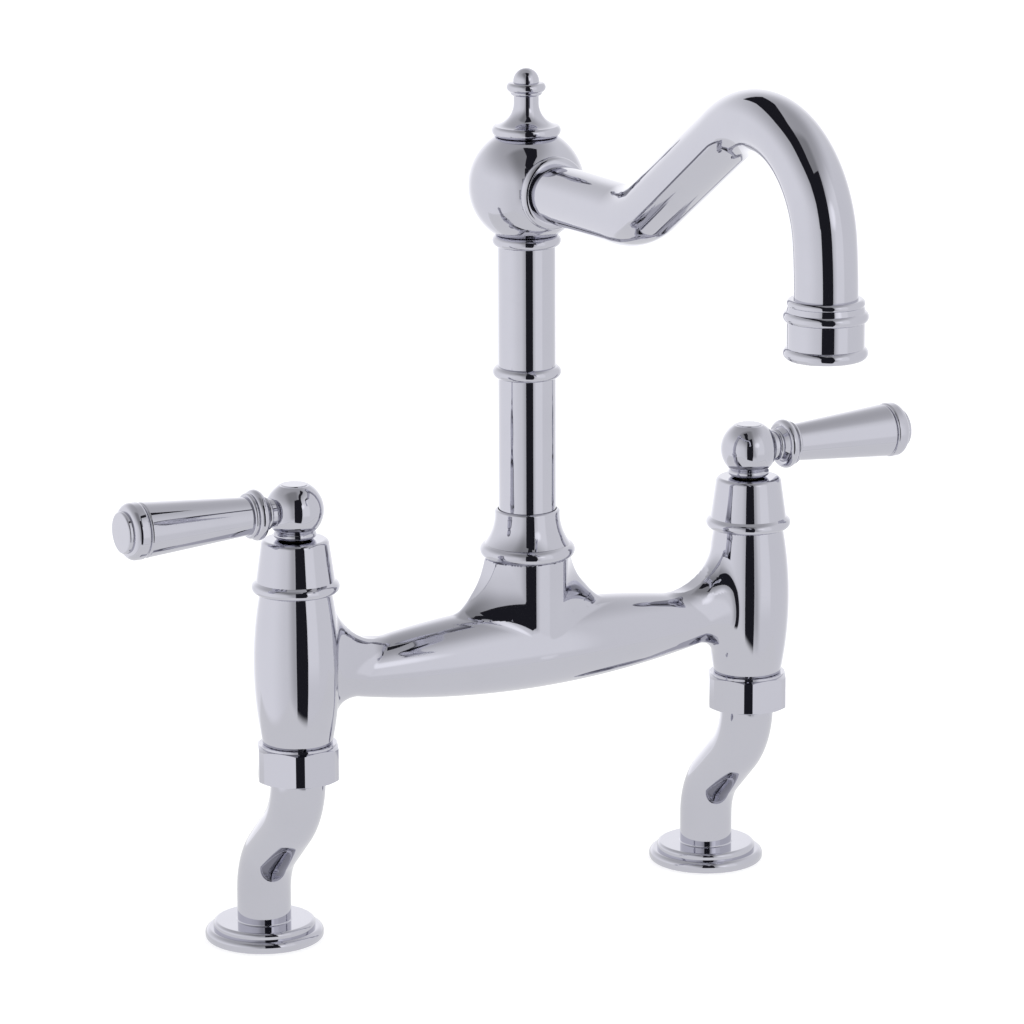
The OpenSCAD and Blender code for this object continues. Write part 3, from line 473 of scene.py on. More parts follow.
nozzle_line = rounded([
    (11.5, 0), *bead(14.8, 2.2, 2.2, -90, 65), (13.55, 4.25), (13.55, 13.3),
    *bead(14.9, 15, 2.1, -50, 62), *bead(13.6, 19.7, 1.5, -38, 90, 14), (SPOUT_R, 21.2),
    (SPOUT_R, 10.9), (9.8, 10.9), (9.8, 9.7), (11.5, 9.7),
])
settle(turn("nozzle_turned", nozzle_line, seat("nozzle")), "spout", "nozzle")

# %% [markdown]
# ## Levers
# A lever is five turned pieces: a ball on a beaded stem, a collar with beads, a long tapered grip,
# an end cap with a button, and a low cover on the ball. Collar, grip and cap are turned about a
# lying axis. The left lever is made and copied in mirror image. A Mirror modifier would keep both
# levers in one piece, and here each one turns with a body of its own.

# %% Lever ball
LEVER_BALL_R = 11.1
LEVER_FLAT = 9.6
LEVER_RISE = 11.15
LEVER_GAP = 0.3
STEM_HEIGHT = 4
lever_axis = pillars["left"] + UP * (BONNET_HEIGHT + LEVER_RISE) * MM
stem_z = LEVER_GAP - LEVER_RISE
ball_foot = math.degrees(math.asin((stem_z + STEM_HEIGHT) / LEVER_BALL_R))
ball_top = math.degrees(math.asin(LEVER_FLAT / LEVER_BALL_R))
hub_line = [
    (0, stem_z), (6.8, stem_z), *bead(8.1, stem_z + 1.7, 1.45, -60, 60, 12),
    *arc(0, 0, LEVER_BALL_R, ball_foot, ball_top, 48), (0, LEVER_FLAT),
]
left_hub = turn("left_lever_hub_turned", hub_line, lever_axis, solid=True)
only(left_hub)
bpy.ops.object.mode_set(mode="EDIT")
bpy.ops.mesh.select_all(action="SELECT")
side_cut = lever_axis - Vector((LEVER_FLAT * MM, 0, 0))
bpy.ops.mesh.bisect(plane_co=side_cut, plane_no=(-1, 0, 0), use_fill=True, clear_outer=True)
weld()

# %% Collar, grip, end cap and cover
OUTWARD = Vector((-1, 0, 0))
ROD_R = 4
COLLAR_END = 20.2
GRIP_END = 63.7
collar_line = [
    (ROD_R, LEVER_FLAT), (5.4, LEVER_FLAT), (5.4, 11.4), *bead(6.35, 12.4, 1.1, -75, 75, 12),
    (5.6, 13.4), (7, 14.9), *bead(9.65, 16.4, 2.1, -75, 75, 18), (7.15, 18.55),
    *bead(8.6, 19.25, 0.95, -60, 90, 10), (ROD_R, COLLAR_END),
]
grip_line = rounded([
    (ROD_R, COLLAR_END), (7.2, COLLAR_END), (10.5, GRIP_END, 1.1), (ROD_R, GRIP_END),
])
cap_line = rounded([
    (0, GRIP_END), (10.75, GRIP_END, 1.2), (10.75, 69.8, 2.8), (7.9, 69.8), (7.9, 71.7, 0.8),
    (0, 71.7),
])
cover_line = rounded([(0, 8.4), (5, 8.4), (5, 9.9, 0.28), (0, 9.9)])
lever_parts = {
    "hub": left_hub,
    "collar": turn("left_lever_collar_turned", collar_line, lever_axis, OUTWARD),
    "grip": turn("left_lever_grip_turned", grip_line, lever_axis, OUTWARD),
    "end_cap": turn("left_lever_end_cap_turned", cap_line, lever_axis, OUTWARD, solid=True),
}
left_cover = turn("left_screw_cover_turned", cover_line, lever_axis, solid=True)

# %% Both levers
for part, piece in lever_parts.items():
    other = twin(piece, f"right_lever_{part}_turned")
    settle(piece, "left_lever", "left_lever_" + part)
    settle(other, "right_lever", "right_lever_" + part)
right_cover = twin(left_cover, "right_screw_cover_turned")
settle(left_cover, "left_lever", "left_screw_cover")
settle(right_cover, "right_lever", "right_screw_cover")

# %% [markdown]
# ## Bridge
# The bridge is a casting: two barrel pillars, a bowed arm with raised webs, and a hub, run into
# each other with soft fillets and then buffed. Lathe work can't give those fillets, and a bevel
# fails on such crossings. So the plain bodies are joined and remeshed to an even net, and each
# point of the net is then pressed onto the casting's surface. That surface is written as
# distances: how far a point lies from a body, and which way is out. Where two bodies meet, a ball
# of the fillet's radius rolls along both.
#
# The web at the hub is a wedge: two walls leave the hub's round side and close in on each other,
# faster towards the top. The web at a pillar is the large fillet between the arm's upper side and
# the pillar. Seen from the front, all webs end at one line, with a hollow beside the hub and a
# hollow beside the pillar.

# %% Sizes of the bridge
BRIDGE_Z = 110.35
ARM_R = 16.85
ARM_BOW = 405
BARREL_R = 16.3
BARREL_BULGE = 150
BARREL_Z = 116.4
HUB_R = 16
HUB_TOP = 145.8
BARREL_TOP = 144.65
BARREL_LOW = 86
HALF = 100

# Each hollow is a circle: how far from the hub, how high, and its radius.
HUB_HOLLOW = (40.5, 150.8, 24.5)
PILLAR_HOLLOW = (66.5, 139.5, 17)

# The walls' angle up to a height, and what each millimetre above it adds.
WALL_TURN, WALL_TWIST = math.radians(22), math.radians(1.54)
WALL_Z, WALL_NOSE = 124.5, 0.12

# Radii of the fillets. The one at a pillar grows over a stretch of height, and it grows less
# where the pillar faces away from the arm.
VALLEY = 8
LOW_FILLET, HIGH_FILLET = 8.5, 21
FILLET_Z, FILLET_STRETCH = 100, 22
FILLET_FALL = ((0.3, 0.25), (0.95, 1))

# Radii of outer edges.
WEB_EDGE = 1.0
END_EDGE = 0.3
CUT_EDGE = 0.1

# %% [markdown]
# A body is kept as a pair: how far each point lies from it, with less than zero inside, and which
# way is out. Two such pairs are rolled into one where the bodies meet. What two bodies share is
# found in the same way from their outsides.

# %% Fillets between bodies
TINY = 1e-9


def unit(*parts):
    """A field of directions, one row a point."""
    v = np.stack(parts, axis=1)
    return v / np.maximum(np.linalg.norm(v, axis=1, keepdims=True), TINY)


def rolled(one, two, radius):
    """Two bodies as one, with a fillet where they meet."""
    (a, na), (b, nb) = one, two
    c = np.clip((na * nb).sum(1), -0.995, 0.995)
    u, w = radius - a, radius - b
    k = 1 - c * c
    alpha, beta = (u - c * w) / k, (w - c * u) / k
    way = alpha[:, None] * na + beta[:, None] * nb
    length = np.linalg.norm(way, axis=1)
    meet = (alpha > 0) & (beta > 0)
    plain = np.where(a < b, a, b)
    out = np.where((a < b)[:, None], na, nb)
    distance = np.where(meet, radius - length, plain)
    normal = np.where(meet[:, None], way / np.maximum(length, TINY)[:, None], out)
    return distance, normal


def shared(one, two, radius):
    """What two bodies have in common, with its edge rounded."""
    distance, normal = rolled((-one[0], -one[1]), (-two[0], -two[1]), radius)
    return -distance, -normal


# %% [markdown]
# Left and right are alike, so each body is written for one side: x is taken without its sign, and
# the way out gets the sign back.

# %% Arm, pillars, hub and webs


def bowed_arm(x, y, z):
    """The arm, round and thinner towards its ends, cut off at the pillars' axes."""
    zero = np.zeros_like(x)
    out = np.hypot(y, z - BRIDGE_Z)
    bow = np.hypot(out + ARM_BOW - ARM_R, x)
    lift = (out + ARM_BOW - ARM_R) / bow / np.maximum(out, TINY)
    arm = bow - ARM_BOW, unit(x / bow, y * lift, (z - BRIDGE_Z) * lift)
    ends = np.abs(x) - HALF, unit(np.sign(x), zero, zero)
    return shared(arm, ends, CUT_EDGE)


def barrel(x, y, z):
    """The barrel of the pillar on the point's own side."""
    px = np.abs(x) - HALF
    out = np.hypot(px, y)
    bulge = np.hypot(out + BARREL_BULGE - BARREL_R, z - BARREL_Z)
    lift = (out + BARREL_BULGE - BARREL_R) / bulge / np.maximum(out, TINY)
    return bulge - BARREL_BULGE, unit(np.sign(x) * px * lift, y * lift, (z - BARREL_Z) / bulge)


def hub_and_walls(x, y, z):
    """The hub's round side, and the walls that touch it and close in towards the pillars."""
    ax, sx = np.abs(x), np.sign(x)
    hub = np.hypot(x, y) - HUB_R, unit(x, y, np.zeros_like(x))
    turn_by = WALL_TURN + WALL_TWIST * np.maximum(z - WALL_Z, 0)
    twist = np.where(z > WALL_Z, WALL_TWIST, 0)
    sine, cosine = np.sin(turn_by), np.cos(turn_by)
    side = np.hypot(y, WALL_NOSE * np.maximum(ax * cosine - np.abs(y) * sine, 0)) + TINY
    along = ax * cosine - side * sine
    slopes = np.stack([sx * sine, cosine * y / side, twist * along], axis=1)
    steep = np.linalg.norm(slopes, axis=1)
    wall = (ax * sine + side * cosine - HUB_R) / steep, slopes / steep[:, None]
    beside = along > 0
    return np.where(beside, wall[0], hub[0]), np.where(beside[:, None], wall[1], hub[1])


def web_line(x, z):
    """What lies under the webs' line: a hollow, a soft slope, and a second hollow."""
    ax, sx, zero = np.abs(x), np.sign(x), np.zeros_like(x)
    hx, hz, hr = HUB_HOLLOW
    qx, qz, qr = PILLAR_HOLLOW
    near_hub = hr - np.hypot(ax - hx, z - hz), unit(-sx * (ax - hx), zero, hz - z)
    near_pillar = qr - np.hypot(ax - qx, z - qz), unit(-sx * (ax - qx), zero, qz - z)
    t = np.clip((ax - hx) / (qx - hx), 0, 1)
    fall = (hz - hr) - (qz - qr)
    top = hz - hr - fall * t * t * (3 - 2 * t)
    slope = -6 * fall * t * (1 - t) / (qx - hx)
    tilt = 1 / np.sqrt(1 + slope * slope)
    between = (z - top) * tilt, unit(-sx * slope, zero, zero + 1)
    distance = np.where(ax < hx, near_hub[0], np.where(ax > qx, near_pillar[0], between[0]))
    way = np.where((ax < hx)[:, None], near_hub[1], between[1])
    return distance, np.where((ax > qx)[:, None], near_pillar[1], way)


# %% [markdown]
# The casting is put together as its fillets lie on each other: first the hub and the arm, then both
# and the pillars. After that the webs are cut off at their line, and then the flat ends.

# %% Surface of the bridge


def bridge_surface(p):
    """Distance to the bridge and the way out, in millimetres. x is measured from the hub."""
    x, y, z = p[:, 0], p[:, 1], p[:, 2]
    ax, zero = np.abs(x), np.zeros_like(x)
    upward, downward = unit(zero, zero, zero + 1), unit(zero, zero, zero - 1)
    hub = shared(hub_and_walls(x, y, z), (BRIDGE_Z - z, downward), CUT_EDGE)
    body = rolled(bowed_arm(x, y, z), hub, VALLEY)
    facing = (HALF - ax) / np.hypot(ax - HALF, y)
    above = np.clip((z - FILLET_Z) / FILLET_STRETCH, 0, 1)
    fall = np.interp(facing, *zip(*FILLET_FALL))
    fillet = LOW_FILLET + above * (HIGH_FILLET * fall - LOW_FILLET)
    body = rolled(body, barrel(x, y, z), fillet)
    webs = shared(body, web_line(x, z), WEB_EDGE)
    inside = (ax < HUB_R) | (ax > HALF - BARREL_R + 1)
    body = np.where(inside, body[0], webs[0]), np.where(inside[:, None], body[1], webs[1])
    top_z = np.where(ax < HALF / 2, HUB_TOP, BARREL_TOP)
    body = shared(body, (z - top_z, upward), END_EDGE)
    return shared(body, (BARREL_LOW - z, downward), END_EDGE)


# %% [markdown]
# The net comes from plain bodies. Arm, pillars, hub and boxes in place of the webs are joined, and
# the voxel remesh melts them into one skin of even small faces, which only has to lie near the
# surface.

# %% Plain bodies, joined to one net
NET = 0.8
middle = Vector((column.x, column.y, BRIDGE_Z * MM))


def upright(x, radius, low_z, top_z):
    """A plain round body that stands at x from the hub."""
    foot = Vector((middle.x + x * MM, middle.y, low_z * MM))
    line = [(0, 0), (radius, 0), (radius, top_z - low_z), (0, top_z - low_z)]
    return turn("body", line, foot, solid=True)


def block(x, above, size):
    """A plain box in the place of a web, at x from the hub and above the arm's axis."""
    only(None)
    place = middle + Vector((x * MM, 0, above * MM))
    bpy.ops.mesh.primitive_cube_add(size=MM, location=place)
    bpy.ops.transform.resize(value=size)
    bpy.ops.object.transform_apply(location=True, scale=True)
    return bpy.context.object


arm_line = [(0, -HALF)]
for x in range(-HALF, HALF + 1, 5):
    arm_line.append((ARM_R - ARM_BOW + math.sqrt(ARM_BOW ** 2 - x * x), x))
arm_line.append((0, HALF))
bridge = turn("bridge_body_cast", arm_line, middle, Vector((1, 0, 0)), solid=True)
bodies = [
    bridge,
    upright(-HALF, BARREL_R - 1, BARREL_LOW, BARREL_TOP),
    upright(HALF, BARREL_R - 1, BARREL_LOW, BARREL_TOP),
    upright(0, HUB_R, BRIDGE_Z, HUB_TOP),
    block(0, 8, (180, 8, 14)),
    block(-20, 24, (10, 12, 20)),
    block(20, 24, (10, 12, 20)),
]
only(bridge)
for body in bodies:
    body.select_set(True)
bpy.ops.object.join()
bridge.data.remesh_voxel_size = NET * MM
bpy.ops.object.voxel_remesh()
print("net of", len(bridge.data.vertices), "points")

# %% [markdown]
# Each point now moves along the way out until it lies on the surface. A Shrinkwrap modifier does
# this for a mesh, but here the surface is a sum. Pressing crowds the points in the fillets, so the
# net is relaxed between the passes, less each time.

# %% The net pressed onto the surface


def points_of(piece):
    """The piece's points in millimetres, with x and y from the hub's axis."""
    co = np.empty(3 * len(piece.data.vertices))
    piece.data.vertices.foreach_get("co", co)
    return (co.reshape(-1, 3) - [middle.x, middle.y, 0]) / MM


def press(piece, passes):
    """Presses each point of the net onto the casting's surface."""
    p = points_of(piece)
    for _ in range(passes):
        distance, out = bridge_surface(p)
        p = p - np.clip(distance, -2, 2)[:, None] * out
    piece.data.vertices.foreach_set("co", (p * MM + [middle.x, middle.y, 0]).ravel())
    piece.data.update()
    return np.abs(distance).max()


for relax in (6, 4, 3, 2):
    press(bridge, 8)
    only(bridge)
    bpy.ops.object.mode_set(mode="EDIT")
    bpy.ops.mesh.select_all(action="SELECT")
    bpy.ops.mesh.vertices_smooth(factor=0.5, repeat=relax)
    bpy.ops.object.mode_set(mode="OBJECT")
print("bridge off by", round(press(bridge, 12), 4), "mm,", len(bridge.data.vertices), "points")

# %% [markdown]
# A mirror shows every dent of a net. So the shading takes its directions from the casting's surface
# instead: how its distance changes when a point is nudged along each axis.

# %% Shading directions of the bridge
NUDGE = 0.01
only(bridge)
bpy.ops.object.shade_smooth()
net = points_of(bridge)
ways = np.stack([
    bridge_surface(net + NUDGE * axis)[0] - bridge_surface(net - NUDGE * axis)[0]
    for axis in np.eye(3)
], axis=1)
ways /= np.linalg.norm(ways, axis=1, keepdims=True)
bridge.data.normals_split_custom_set_from_vertices(ways.tolist())
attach(bridge, "base")
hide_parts("bridge_body")
chrome_pieces.append(bridge)
print(bridge.name, len(bridge.data.polygons), "faces")

# %% [markdown]
# # Finishes
# A finish is written as a small calculation on the place of each point of the surface, so it needs
# no pictures. To keep such calculations readable, a value in a shader is wrapped so that it can be
# added and multiplied like a number, and one method adds every other kind of node.

# %% Shader sums


class Value:
    """A value in a shader that is added, subtracted, multiplied and divided like a number."""

    def __init__(self, shader, socket):
        self.shader, self.socket = shader, socket

    def __add__(self, other):
        return self.shader.sum("ADD", self, other)

    def __sub__(self, other):
        return self.shader.sum("SUBTRACT", self, other)

    def __rsub__(self, other):
        return self.shader.sum("SUBTRACT", other, self)

    def __mul__(self, other):
        return self.shader.sum("MULTIPLY", self, other)

    def __truediv__(self, other):
        return self.shader.sum("DIVIDE", self, other)

    __radd__ = __add__
    __rmul__ = __mul__


class Shader:
    """The nodes of one material or world, started afresh."""

    def __init__(self, owner):
        owner.use_nodes = True
        self.tree = owner.node_tree
        self.tree.nodes.clear()

    def node(self, kind, settings=None, sockets=None, out=0):
        """Adds a node, sets it, feeds it, and gives back one of its outputs."""
        made = self.tree.nodes.new("ShaderNode" + kind)
        for key, setting in (settings or {}).items():
            setattr(made, key, setting)
        for key, value in (sockets or {}).items():
            if isinstance(value, Value):
                self.tree.links.new(value.socket, made.inputs[key])
            else:
                made.inputs[key].default_value = value
        return Value(self, made.outputs[out]) if len(made.outputs) else made

    def sum(self, operation, *values):
        """A sum of any kind that Blender's Math node knows."""
        return self.node("Math", {"operation": operation}, dict(enumerate(values)))

    def along(self, vector, way):
        """How far a vector goes along a fixed way."""
        sockets = {0: vector, 1: way}
        return self.node("VectorMath", {"operation": "DOT_PRODUCT"}, sockets, "Value")

    def step(self, value, low, high, start=0.0, end=1.0):
        """A soft step from start to end while the value goes from low to high."""
        sockets = {"Value": value, 1: low, 2: high, 3: start, 4: end}
        return self.node("MapRange", {"interpolation_type": "SMOOTHSTEP"}, sockets)

    def blend(self, factor, one, two):
        """A colour between two colours."""
        return self.node("Mix", {"data_type": "RGBA"}, {0: factor, 6: one, 7: two}, 2)

    def noise(self, scale, detail, rough=0.5):
        """Soft random patches in the object's own space, from 0 to 1."""
        place = self.node("TexCoord", out="Object")
        sockets = {"Vector": place, "Scale": scale, "Detail": detail, "Roughness": rough}
        return self.node("TexNoise", {}, sockets)


def finish(name, build):
    """A new material whose surface is what build gives back."""
    material = bpy.data.materials.new(name)
    shader = Shader(material)
    surface = build(shader)
    shader.node("OutputMaterial", {}, {"Surface": surface})
    return material


def colour(red, green, blue):
    return (red, green, blue, 1.0)


# %% [markdown]
# ## Chrome
# Polished chrome is a mirror with a cool tint. What makes it real is how the mirror departs from
# perfect: the casting stays a little wavy under the buffing wheel, turned parts are truer, and a
# film of fingerprints and dried water lifts the roughness in soft patches.

# %% Chrome
CHROME = colour(0.57, 0.57, 0.63)
CHROME_WORN = colour(0.53, 0.53, 0.585)
CHROME_ROUGH = 0.035
FILM_ROUGH = 0.02
DUST_ROUGH = 0.02
CAST_WAVE = 0.03
TURNED_WAVE = 0.012


def chrome(wave_scale, wave_height):
    """Chrome over metal whose surface waves by so many millimetres."""

    def build(s):
        film = s.step(s.noise(24, 4, 0.6), 0.42, 0.78)
        dust = s.step(s.noise(700, 2), 0.62, 0.8)
        wave = s.noise(wave_scale, 1)
        lines = s.noise(2600, 1)
        bump = s.node("Bump", {}, {
            "Height": wave + lines * 0.004, "Distance": wave_height * MM, "Strength": 1.0})
        rough = CHROME_ROUGH + film * FILM_ROUGH + dust * DUST_ROUGH
        return s.node("BsdfPrincipled", {}, {
            "Base Color": s.blend(film * 0.5 + dust * 0.2, CHROME, CHROME_WORN),
            "Metallic": 1.0, "Roughness": rough, "Normal": bump})

    return build


cast_chrome = finish("chrome_on_casting", chrome(70, CAST_WAVE))
turned_chrome = finish("chrome_on_turned_parts", chrome(90, TURNED_WAVE))
for piece in chrome_pieces:
    piece.data.materials.clear()
    piece.data.materials.append(cast_chrome if piece is bridge else turned_chrome)

# %% [markdown]
# ## Brass, rubber, ceramic, fibre and plastic
# The inner pieces keep their CAD meshes and get their own finishes: machined brass with a fine
# grain, matt rubber, lapped ceramic, fibre board and moulded plastic. The spindles are brass too,
# dark with grease. They show only when the faucet is taken apart, so one recipe with two tones, a
# roughness and a fine bump serves them all.

# %% Inner finishes


def matt(base, dark, roughness, grain, height, metal=0.0):
    """A finish with grain: two tones, a roughness that follows them, and a bump."""

    def build(s):
        tone = s.noise(grain, 4, 0.6)
        fine = s.noise(grain * 6, 2)
        bump = s.node("Bump", {}, {
            "Height": tone + fine * 0.5, "Distance": height * MM, "Strength": 0.6})
        return s.node("BsdfPrincipled", {}, {
            "Base Color": s.blend(s.step(tone, 0.3, 0.7), colour(*base), colour(*dark)),
            "Metallic": metal, "Roughness": roughness + tone * 0.12 - 0.06, "Normal": bump})

    return build


brass = matt((0.8, 0.62, 0.3), (0.68, 0.5, 0.22), 0.3, 900, 0.01, 1)
greased = matt((0.12, 0.1, 0.06), (0.07, 0.06, 0.04), 0.5, 900, 0.01, 1)
rubber = matt((0.05, 0.05, 0.055), (0.03, 0.03, 0.03), 0.7, 700, 0.03)
ceramic = matt((0.92, 0.9, 0.86), (0.85, 0.83, 0.79), 0.3, 400, 0.005)
fibre = matt((0.6, 0.24, 0.16), (0.42, 0.16, 0.11), 0.8, 1500, 0.05)
plastic = matt((0.85, 0.86, 0.87), (0.78, 0.79, 0.8), 0.4, 500, 0.01)
inner_finishes = {
    "brass": finish("machined_brass", brass),
    "greased": finish("greased_brass", greased),
    "rubber": finish("matt_rubber", rubber),
    "ceramic": finish("lapped_ceramic", ceramic),
    "fibre": finish("fibre_board", fibre),
    "plastic": finish("moulded_plastic", plastic),
}
for name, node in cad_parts.items():
    slot = node.data.materials[0].name.split(".")[0]
    if name.endswith("_spindle"):
        slot = "greased"
    if slot in inner_finishes:
        node.data.materials.clear()
        node.data.materials.append(inner_finishes[slot])
print("finishes", sorted(m.name for m in bpy.data.materials if m.users))

# %% [markdown]
# # Studio
# The faucet stands on a plain white table in a white studio, and chrome shows what stands round
# it. The photograph's reflections ask for an even white room that is dimmer overhead, brighter
# behind, and dimmer on both sides of a tall black card in front to the left. A soft upright strip
# shines in front to the right, and a soft spot in front. A photograph of a real studio could
# stand round the faucet instead, but this room needs no picture file: its colour is worked out
# from the direction in which a ray leaves. The camera itself sees plain white.

# %% Directions and tones of the room


def way_to(azimuth, elevation):
    """A direction in degrees: round from the front towards the right, and up."""
    a, e = math.radians(azimuth), math.radians(elevation)
    return Vector((math.sin(a) * math.cos(e), -math.cos(a) * math.cos(e), math.sin(e)))


CARD_WAY = way_to(-25, 8)
ACROSS_CARD = way_to(-28.5, 41).cross(way_to(-17, -25)).normalized()
DIM_FROM = 0.18
DIM_STRETCH_LEFT, DIM_STRETCH_RIGHT = 0.38, 0.20
RIGHT_WAY = way_to(78, 0)
LEFT_BACK_WAY = way_to(-140, 0)
BACK_WAY = way_to(152, -5)
ACROSS_STRIP = way_to(110, 0)
SPOT_WAY = way_to(5, 22)

# The room's white, what is added to it, and the share by which it is dimmed.
ROOM_TONE = 0.90
LEFT_BACK_TONE, BACK_TONE = 0.17, 0.25
STRIP_TONE, SPOT_TONE = 0.12, 0.3
OVERHEAD_DIM, CARD_DIM = 0.45, 0.38
print("straight at the card", [round(v, 2) for v in CARD_WAY])

# %% Room
world = bpy.data.worlds.new("white_studio")
bpy.context.scene.world = world
s = Shader(world)
way = s.node("TexCoord", out="Generated")
height = s.node("SeparateXYZ", {}, {0: way}, 2)

# Beside the card the room is dim, over a wider stretch at the left than at the right.
across = s.along(way, ACROSS_CARD)
beside = s.sum("ABSOLUTE", across, 0.0) - DIM_FROM
before = s.step(s.along(way, CARD_WAY), 0.1, 0.3)
stretch = s.step(across, -0.05, 0.05, DIM_STRETCH_LEFT, DIM_STRETCH_RIGHT)
near_card = s.step(beside / stretch, 0.0, 1.0, 1.0, 0.0) * s.step(height, -0.6, -0.3) * before

# The strip ends softly at its sides, above and below.
strip = s.step(s.sum("ABSOLUTE", s.along(way, ACROSS_STRIP), 0.0), 0.2, 0.3, 1.0, 0.0)
strip = strip * s.step(height, -0.35, -0.2) * s.step(height, 0.7, 0.9, 1.0, 0.0) * before

# The dim part overhead starts higher at the right.
rightward = s.sum("MAXIMUM", s.along(way, RIGHT_WAY), 0.0)
overhead = s.step(height - rightward * 0.6, 0.15, 0.85)

# The back is brighter in two soft patches.
behind = s.step(s.along(way, LEFT_BACK_WAY), 0.0, 0.8) * LEFT_BACK_TONE
behind = behind + s.step(s.along(way, BACK_WAY), 0.70, 0.98) * BACK_TONE
spot = s.step(s.along(way, SPOT_WAY), 0.975, 0.998)
tone = ROOM_TONE + behind + strip * STRIP_TONE + spot * SPOT_TONE
tone = tone * (1.0 - overhead * OVERHEAD_DIM) * (1.0 - near_card * CARD_DIM)

# A blend stops at one, so the tone is halved and the white is doubled.
room = s.blend(tone * 0.5, colour(0.0, 0.0, 0.0), colour(2.0, 2.0, 2.03))
seen = s.node("LightPath", out="Is Camera Ray")
room = s.blend(seen, room, colour(1.0, 1.0, 1.0))
light = s.node("Background", {}, {"Color": room, "Strength": 1.0})
s.node("OutputWorld", {}, {"Surface": light})
print("room made of", len(world.node_tree.nodes), "nodes")

# %% [markdown]
# The table is white and keeps the faucet's shadow. Its far edge would draw a hard line through
# every mirror. So in the chrome it shows only as a sheet of white paper under the faucet, with soft
# edges, and beyond the paper the chrome sees the room.

# %% Table
TABLE = 8
PAPER_EDGE = 0.215
PAPER_SOFT = 0.02
PAPER_WIDER = 0.08
only(None)
bpy.ops.mesh.primitive_plane_add(size=TABLE, location=(0, 0, 0))
table = bpy.context.object
table.name = "table"


def table_top(s):
    """White table for the camera and the light, white paper and then nothing for a mirror."""
    grain = s.noise(300, 3)
    top = s.node("BsdfPrincipled", {}, {
        "Base Color": s.blend(grain, colour(0.86, 0.86, 0.86), colour(0.88, 0.88, 0.88)),
        "Roughness": 0.7, "Specular IOR Level": 0.1,
        "Emission Color": colour(1.0, 1.0, 1.0), "Emission Strength": 0.55})
    mirrored = s.node("LightPath", out="Is Glossy Ray")
    place = s.node("TexCoord", out="Object")
    side = s.sum("ABSOLUTE", s.along(place, (1, 0, 0)), 0.0) - PAPER_WIDER
    reach = s.sum("MAXIMUM", s.sum("ABSOLUTE", s.along(place, (0, 1, 0)), 0.0), side)
    paper = s.node("Emission", {}, {"Color": colour(1.0, 1.0, 1.0), "Strength": ROOM_TONE})
    room_only = s.node("BsdfTransparent")
    mirror = s.node("MixShader", {}, {
        0: s.step(reach, PAPER_EDGE - PAPER_SOFT, PAPER_EDGE + PAPER_SOFT),
        1: paper, 2: room_only})
    return s.node("MixShader", {}, {0: mirrored, 1: top, 2: mirror})


table.data.materials.append(finish("white_table", table_top))
print("table", TABLE, "m wide, paper to", PAPER_EDGE, "m in front and behind")

# %% [markdown]
# A photographer puts black cards beside chrome to draw its edges. The tall card in front to the
# left gives the dark line down every cylinder, and its place follows from where those lines lie
# on the column, the pillars, the hub and the nozzle. A small black flag follows the spout and
# gives the dark line over its arch and on the ball. Painted on the far room, the lines would slip
# on pieces that stand nearer, so both cards are real sheets, which only the chrome sees.

# %% Black cards
CARD_LEFT, CARD_RIGHT = -0.435, -0.06
CARD_LOW, CARD_TOP = -0.4, 1.0
CARD_FRONT = -0.69
FLAG_LINE = [
    (-0.020, -0.040, 0.440), (-0.036, -0.097, 0.447), (-0.084, -0.160, 0.456),
    (-0.101, -0.216, 0.452), (-0.112, -0.258, 0.434), (-0.110, -0.301, 0.412),
    (-0.110, -0.330, 0.381), (-0.113, -0.348, 0.332),
]
FLAG_ACROSS = Vector((0.052, -0.032, 0.022))


def black_cloth(s):
    return s.node("Emission", {}, {"Color": colour(0.017, 0.017, 0.022), "Strength": 1.0})


cloth = finish("black_cloth", black_cloth)


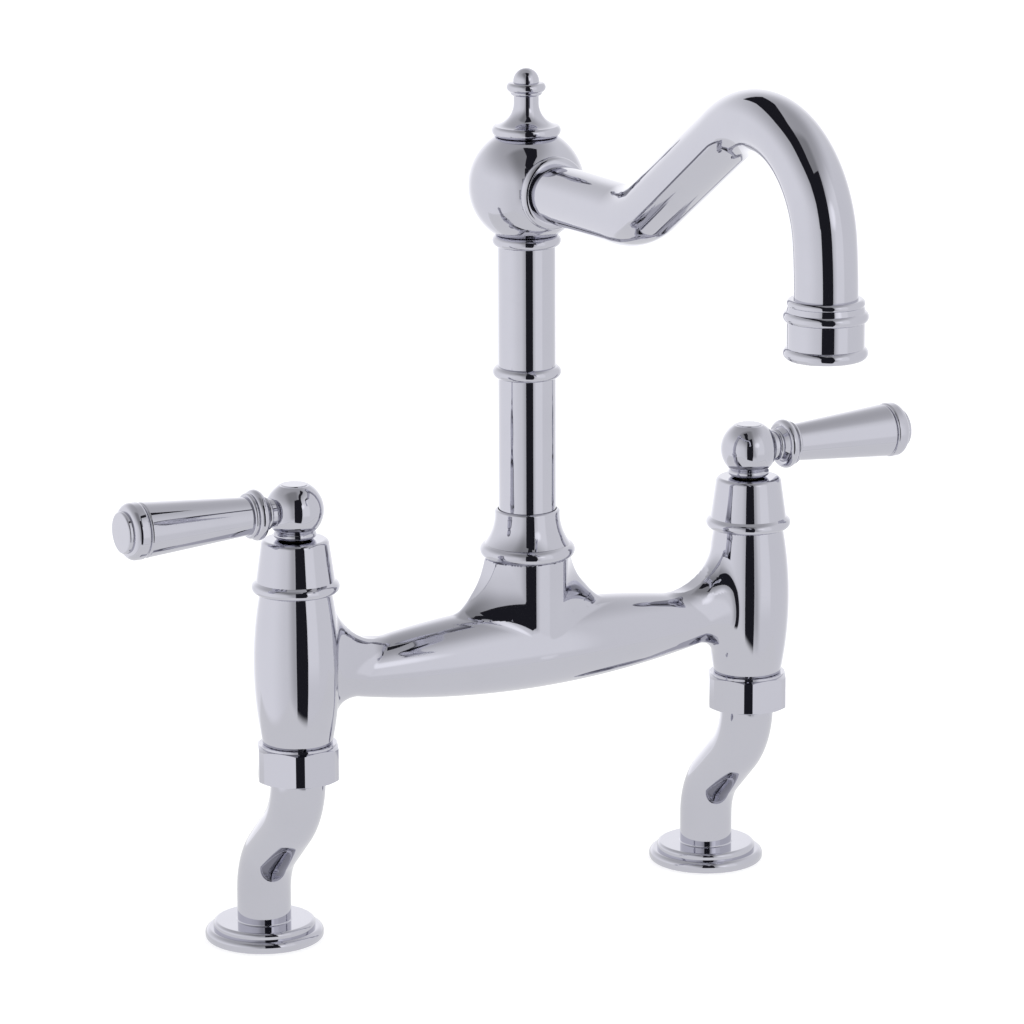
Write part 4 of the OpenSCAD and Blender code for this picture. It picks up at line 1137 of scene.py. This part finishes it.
def black_card(name, line, across):
    """A black card from a line that is pulled across. Only the chrome sees it."""
    card = draw(name, line)
    bpy.ops.mesh.select_all(action="SELECT")
    bpy.ops.mesh.extrude_region_move(TRANSFORM_OT_translate={"value": across})
    weld()
    card.visible_camera = card.visible_diffuse = card.visible_shadow = False
    card.visible_transmission = False
    card.data.materials.append(cloth)
    print(name, "with", len(card.data.polygons), "faces")


card_foot = Vector((CARD_LEFT, CARD_FRONT, CARD_LOW))
card_head = Vector((CARD_LEFT, CARD_FRONT, CARD_TOP))
black_card("black_card", [card_foot, card_head], Vector((CARD_RIGHT - CARD_LEFT, 0, 0)))
black_card("black_flag", [Vector(place) for place in FLAG_LINE], FLAG_ACROSS)

# %% [markdown]
# One weak lamp draws a soft shadow on the table and lights the pieces that aren't chrome. The
# chrome doesn't show it.

# %% Lamp
LAMP_WAY = way_to(10, 40)
LAMP_DISTANCE = 1.8
LAMP_SIZE = 0.5
LAMP_AIM = Vector((0, 0, 0.17))
only(None)
bpy.ops.object.light_add(type="AREA", location=LAMP_AIM + LAMP_WAY * LAMP_DISTANCE)
lamp = bpy.context.object
lamp.rotation_euler = LAMP_WAY.to_track_quat("Z", "Y").to_euler()
lamp.data.shape = "RECTANGLE"
lamp.data.size, lamp.data.size_y = LAMP_SIZE, LAMP_SIZE
lamp.data.energy = 0.3
lamp.visible_glossy = False
print("lamp at", [round(v, 2) for v in lamp.location])

# %% [markdown]
# The camera was fitted to the photograph: its place, its way of looking and its lens put the
# pillars, nuts, rings, column and feet where the photograph shows them.

# %% Camera
EYE = Vector((-0.93915, -1.67906, 0.62877))
SIGHT = Vector((0.47808537, 0.84533505, -0.23841777))
CAMERA_RIGHT = Vector((0.87001815, -0.49300788, -0.00341371))
SENSOR = 36
LENS = 179.21
camera_top = CAMERA_RIGHT.cross(SIGHT).normalized()
bpy.ops.object.camera_add(location=EYE)
camera = bpy.context.object
axes = Matrix((SIGHT.cross(camera_top), camera_top, -SIGHT)).transposed()
camera.matrix_world = Matrix.Translation(EYE) @ axes.to_4x4()
camera.data.sensor_width = SENSOR
camera.data.lens = LENS
camera.data.clip_start, camera.data.clip_end = 0.05, 20
bpy.context.scene.camera = camera
bpy.context.scene.view_settings.view_transform = "Standard"
print("camera at", EYE[:], "with a lens of", LENS, "mm")
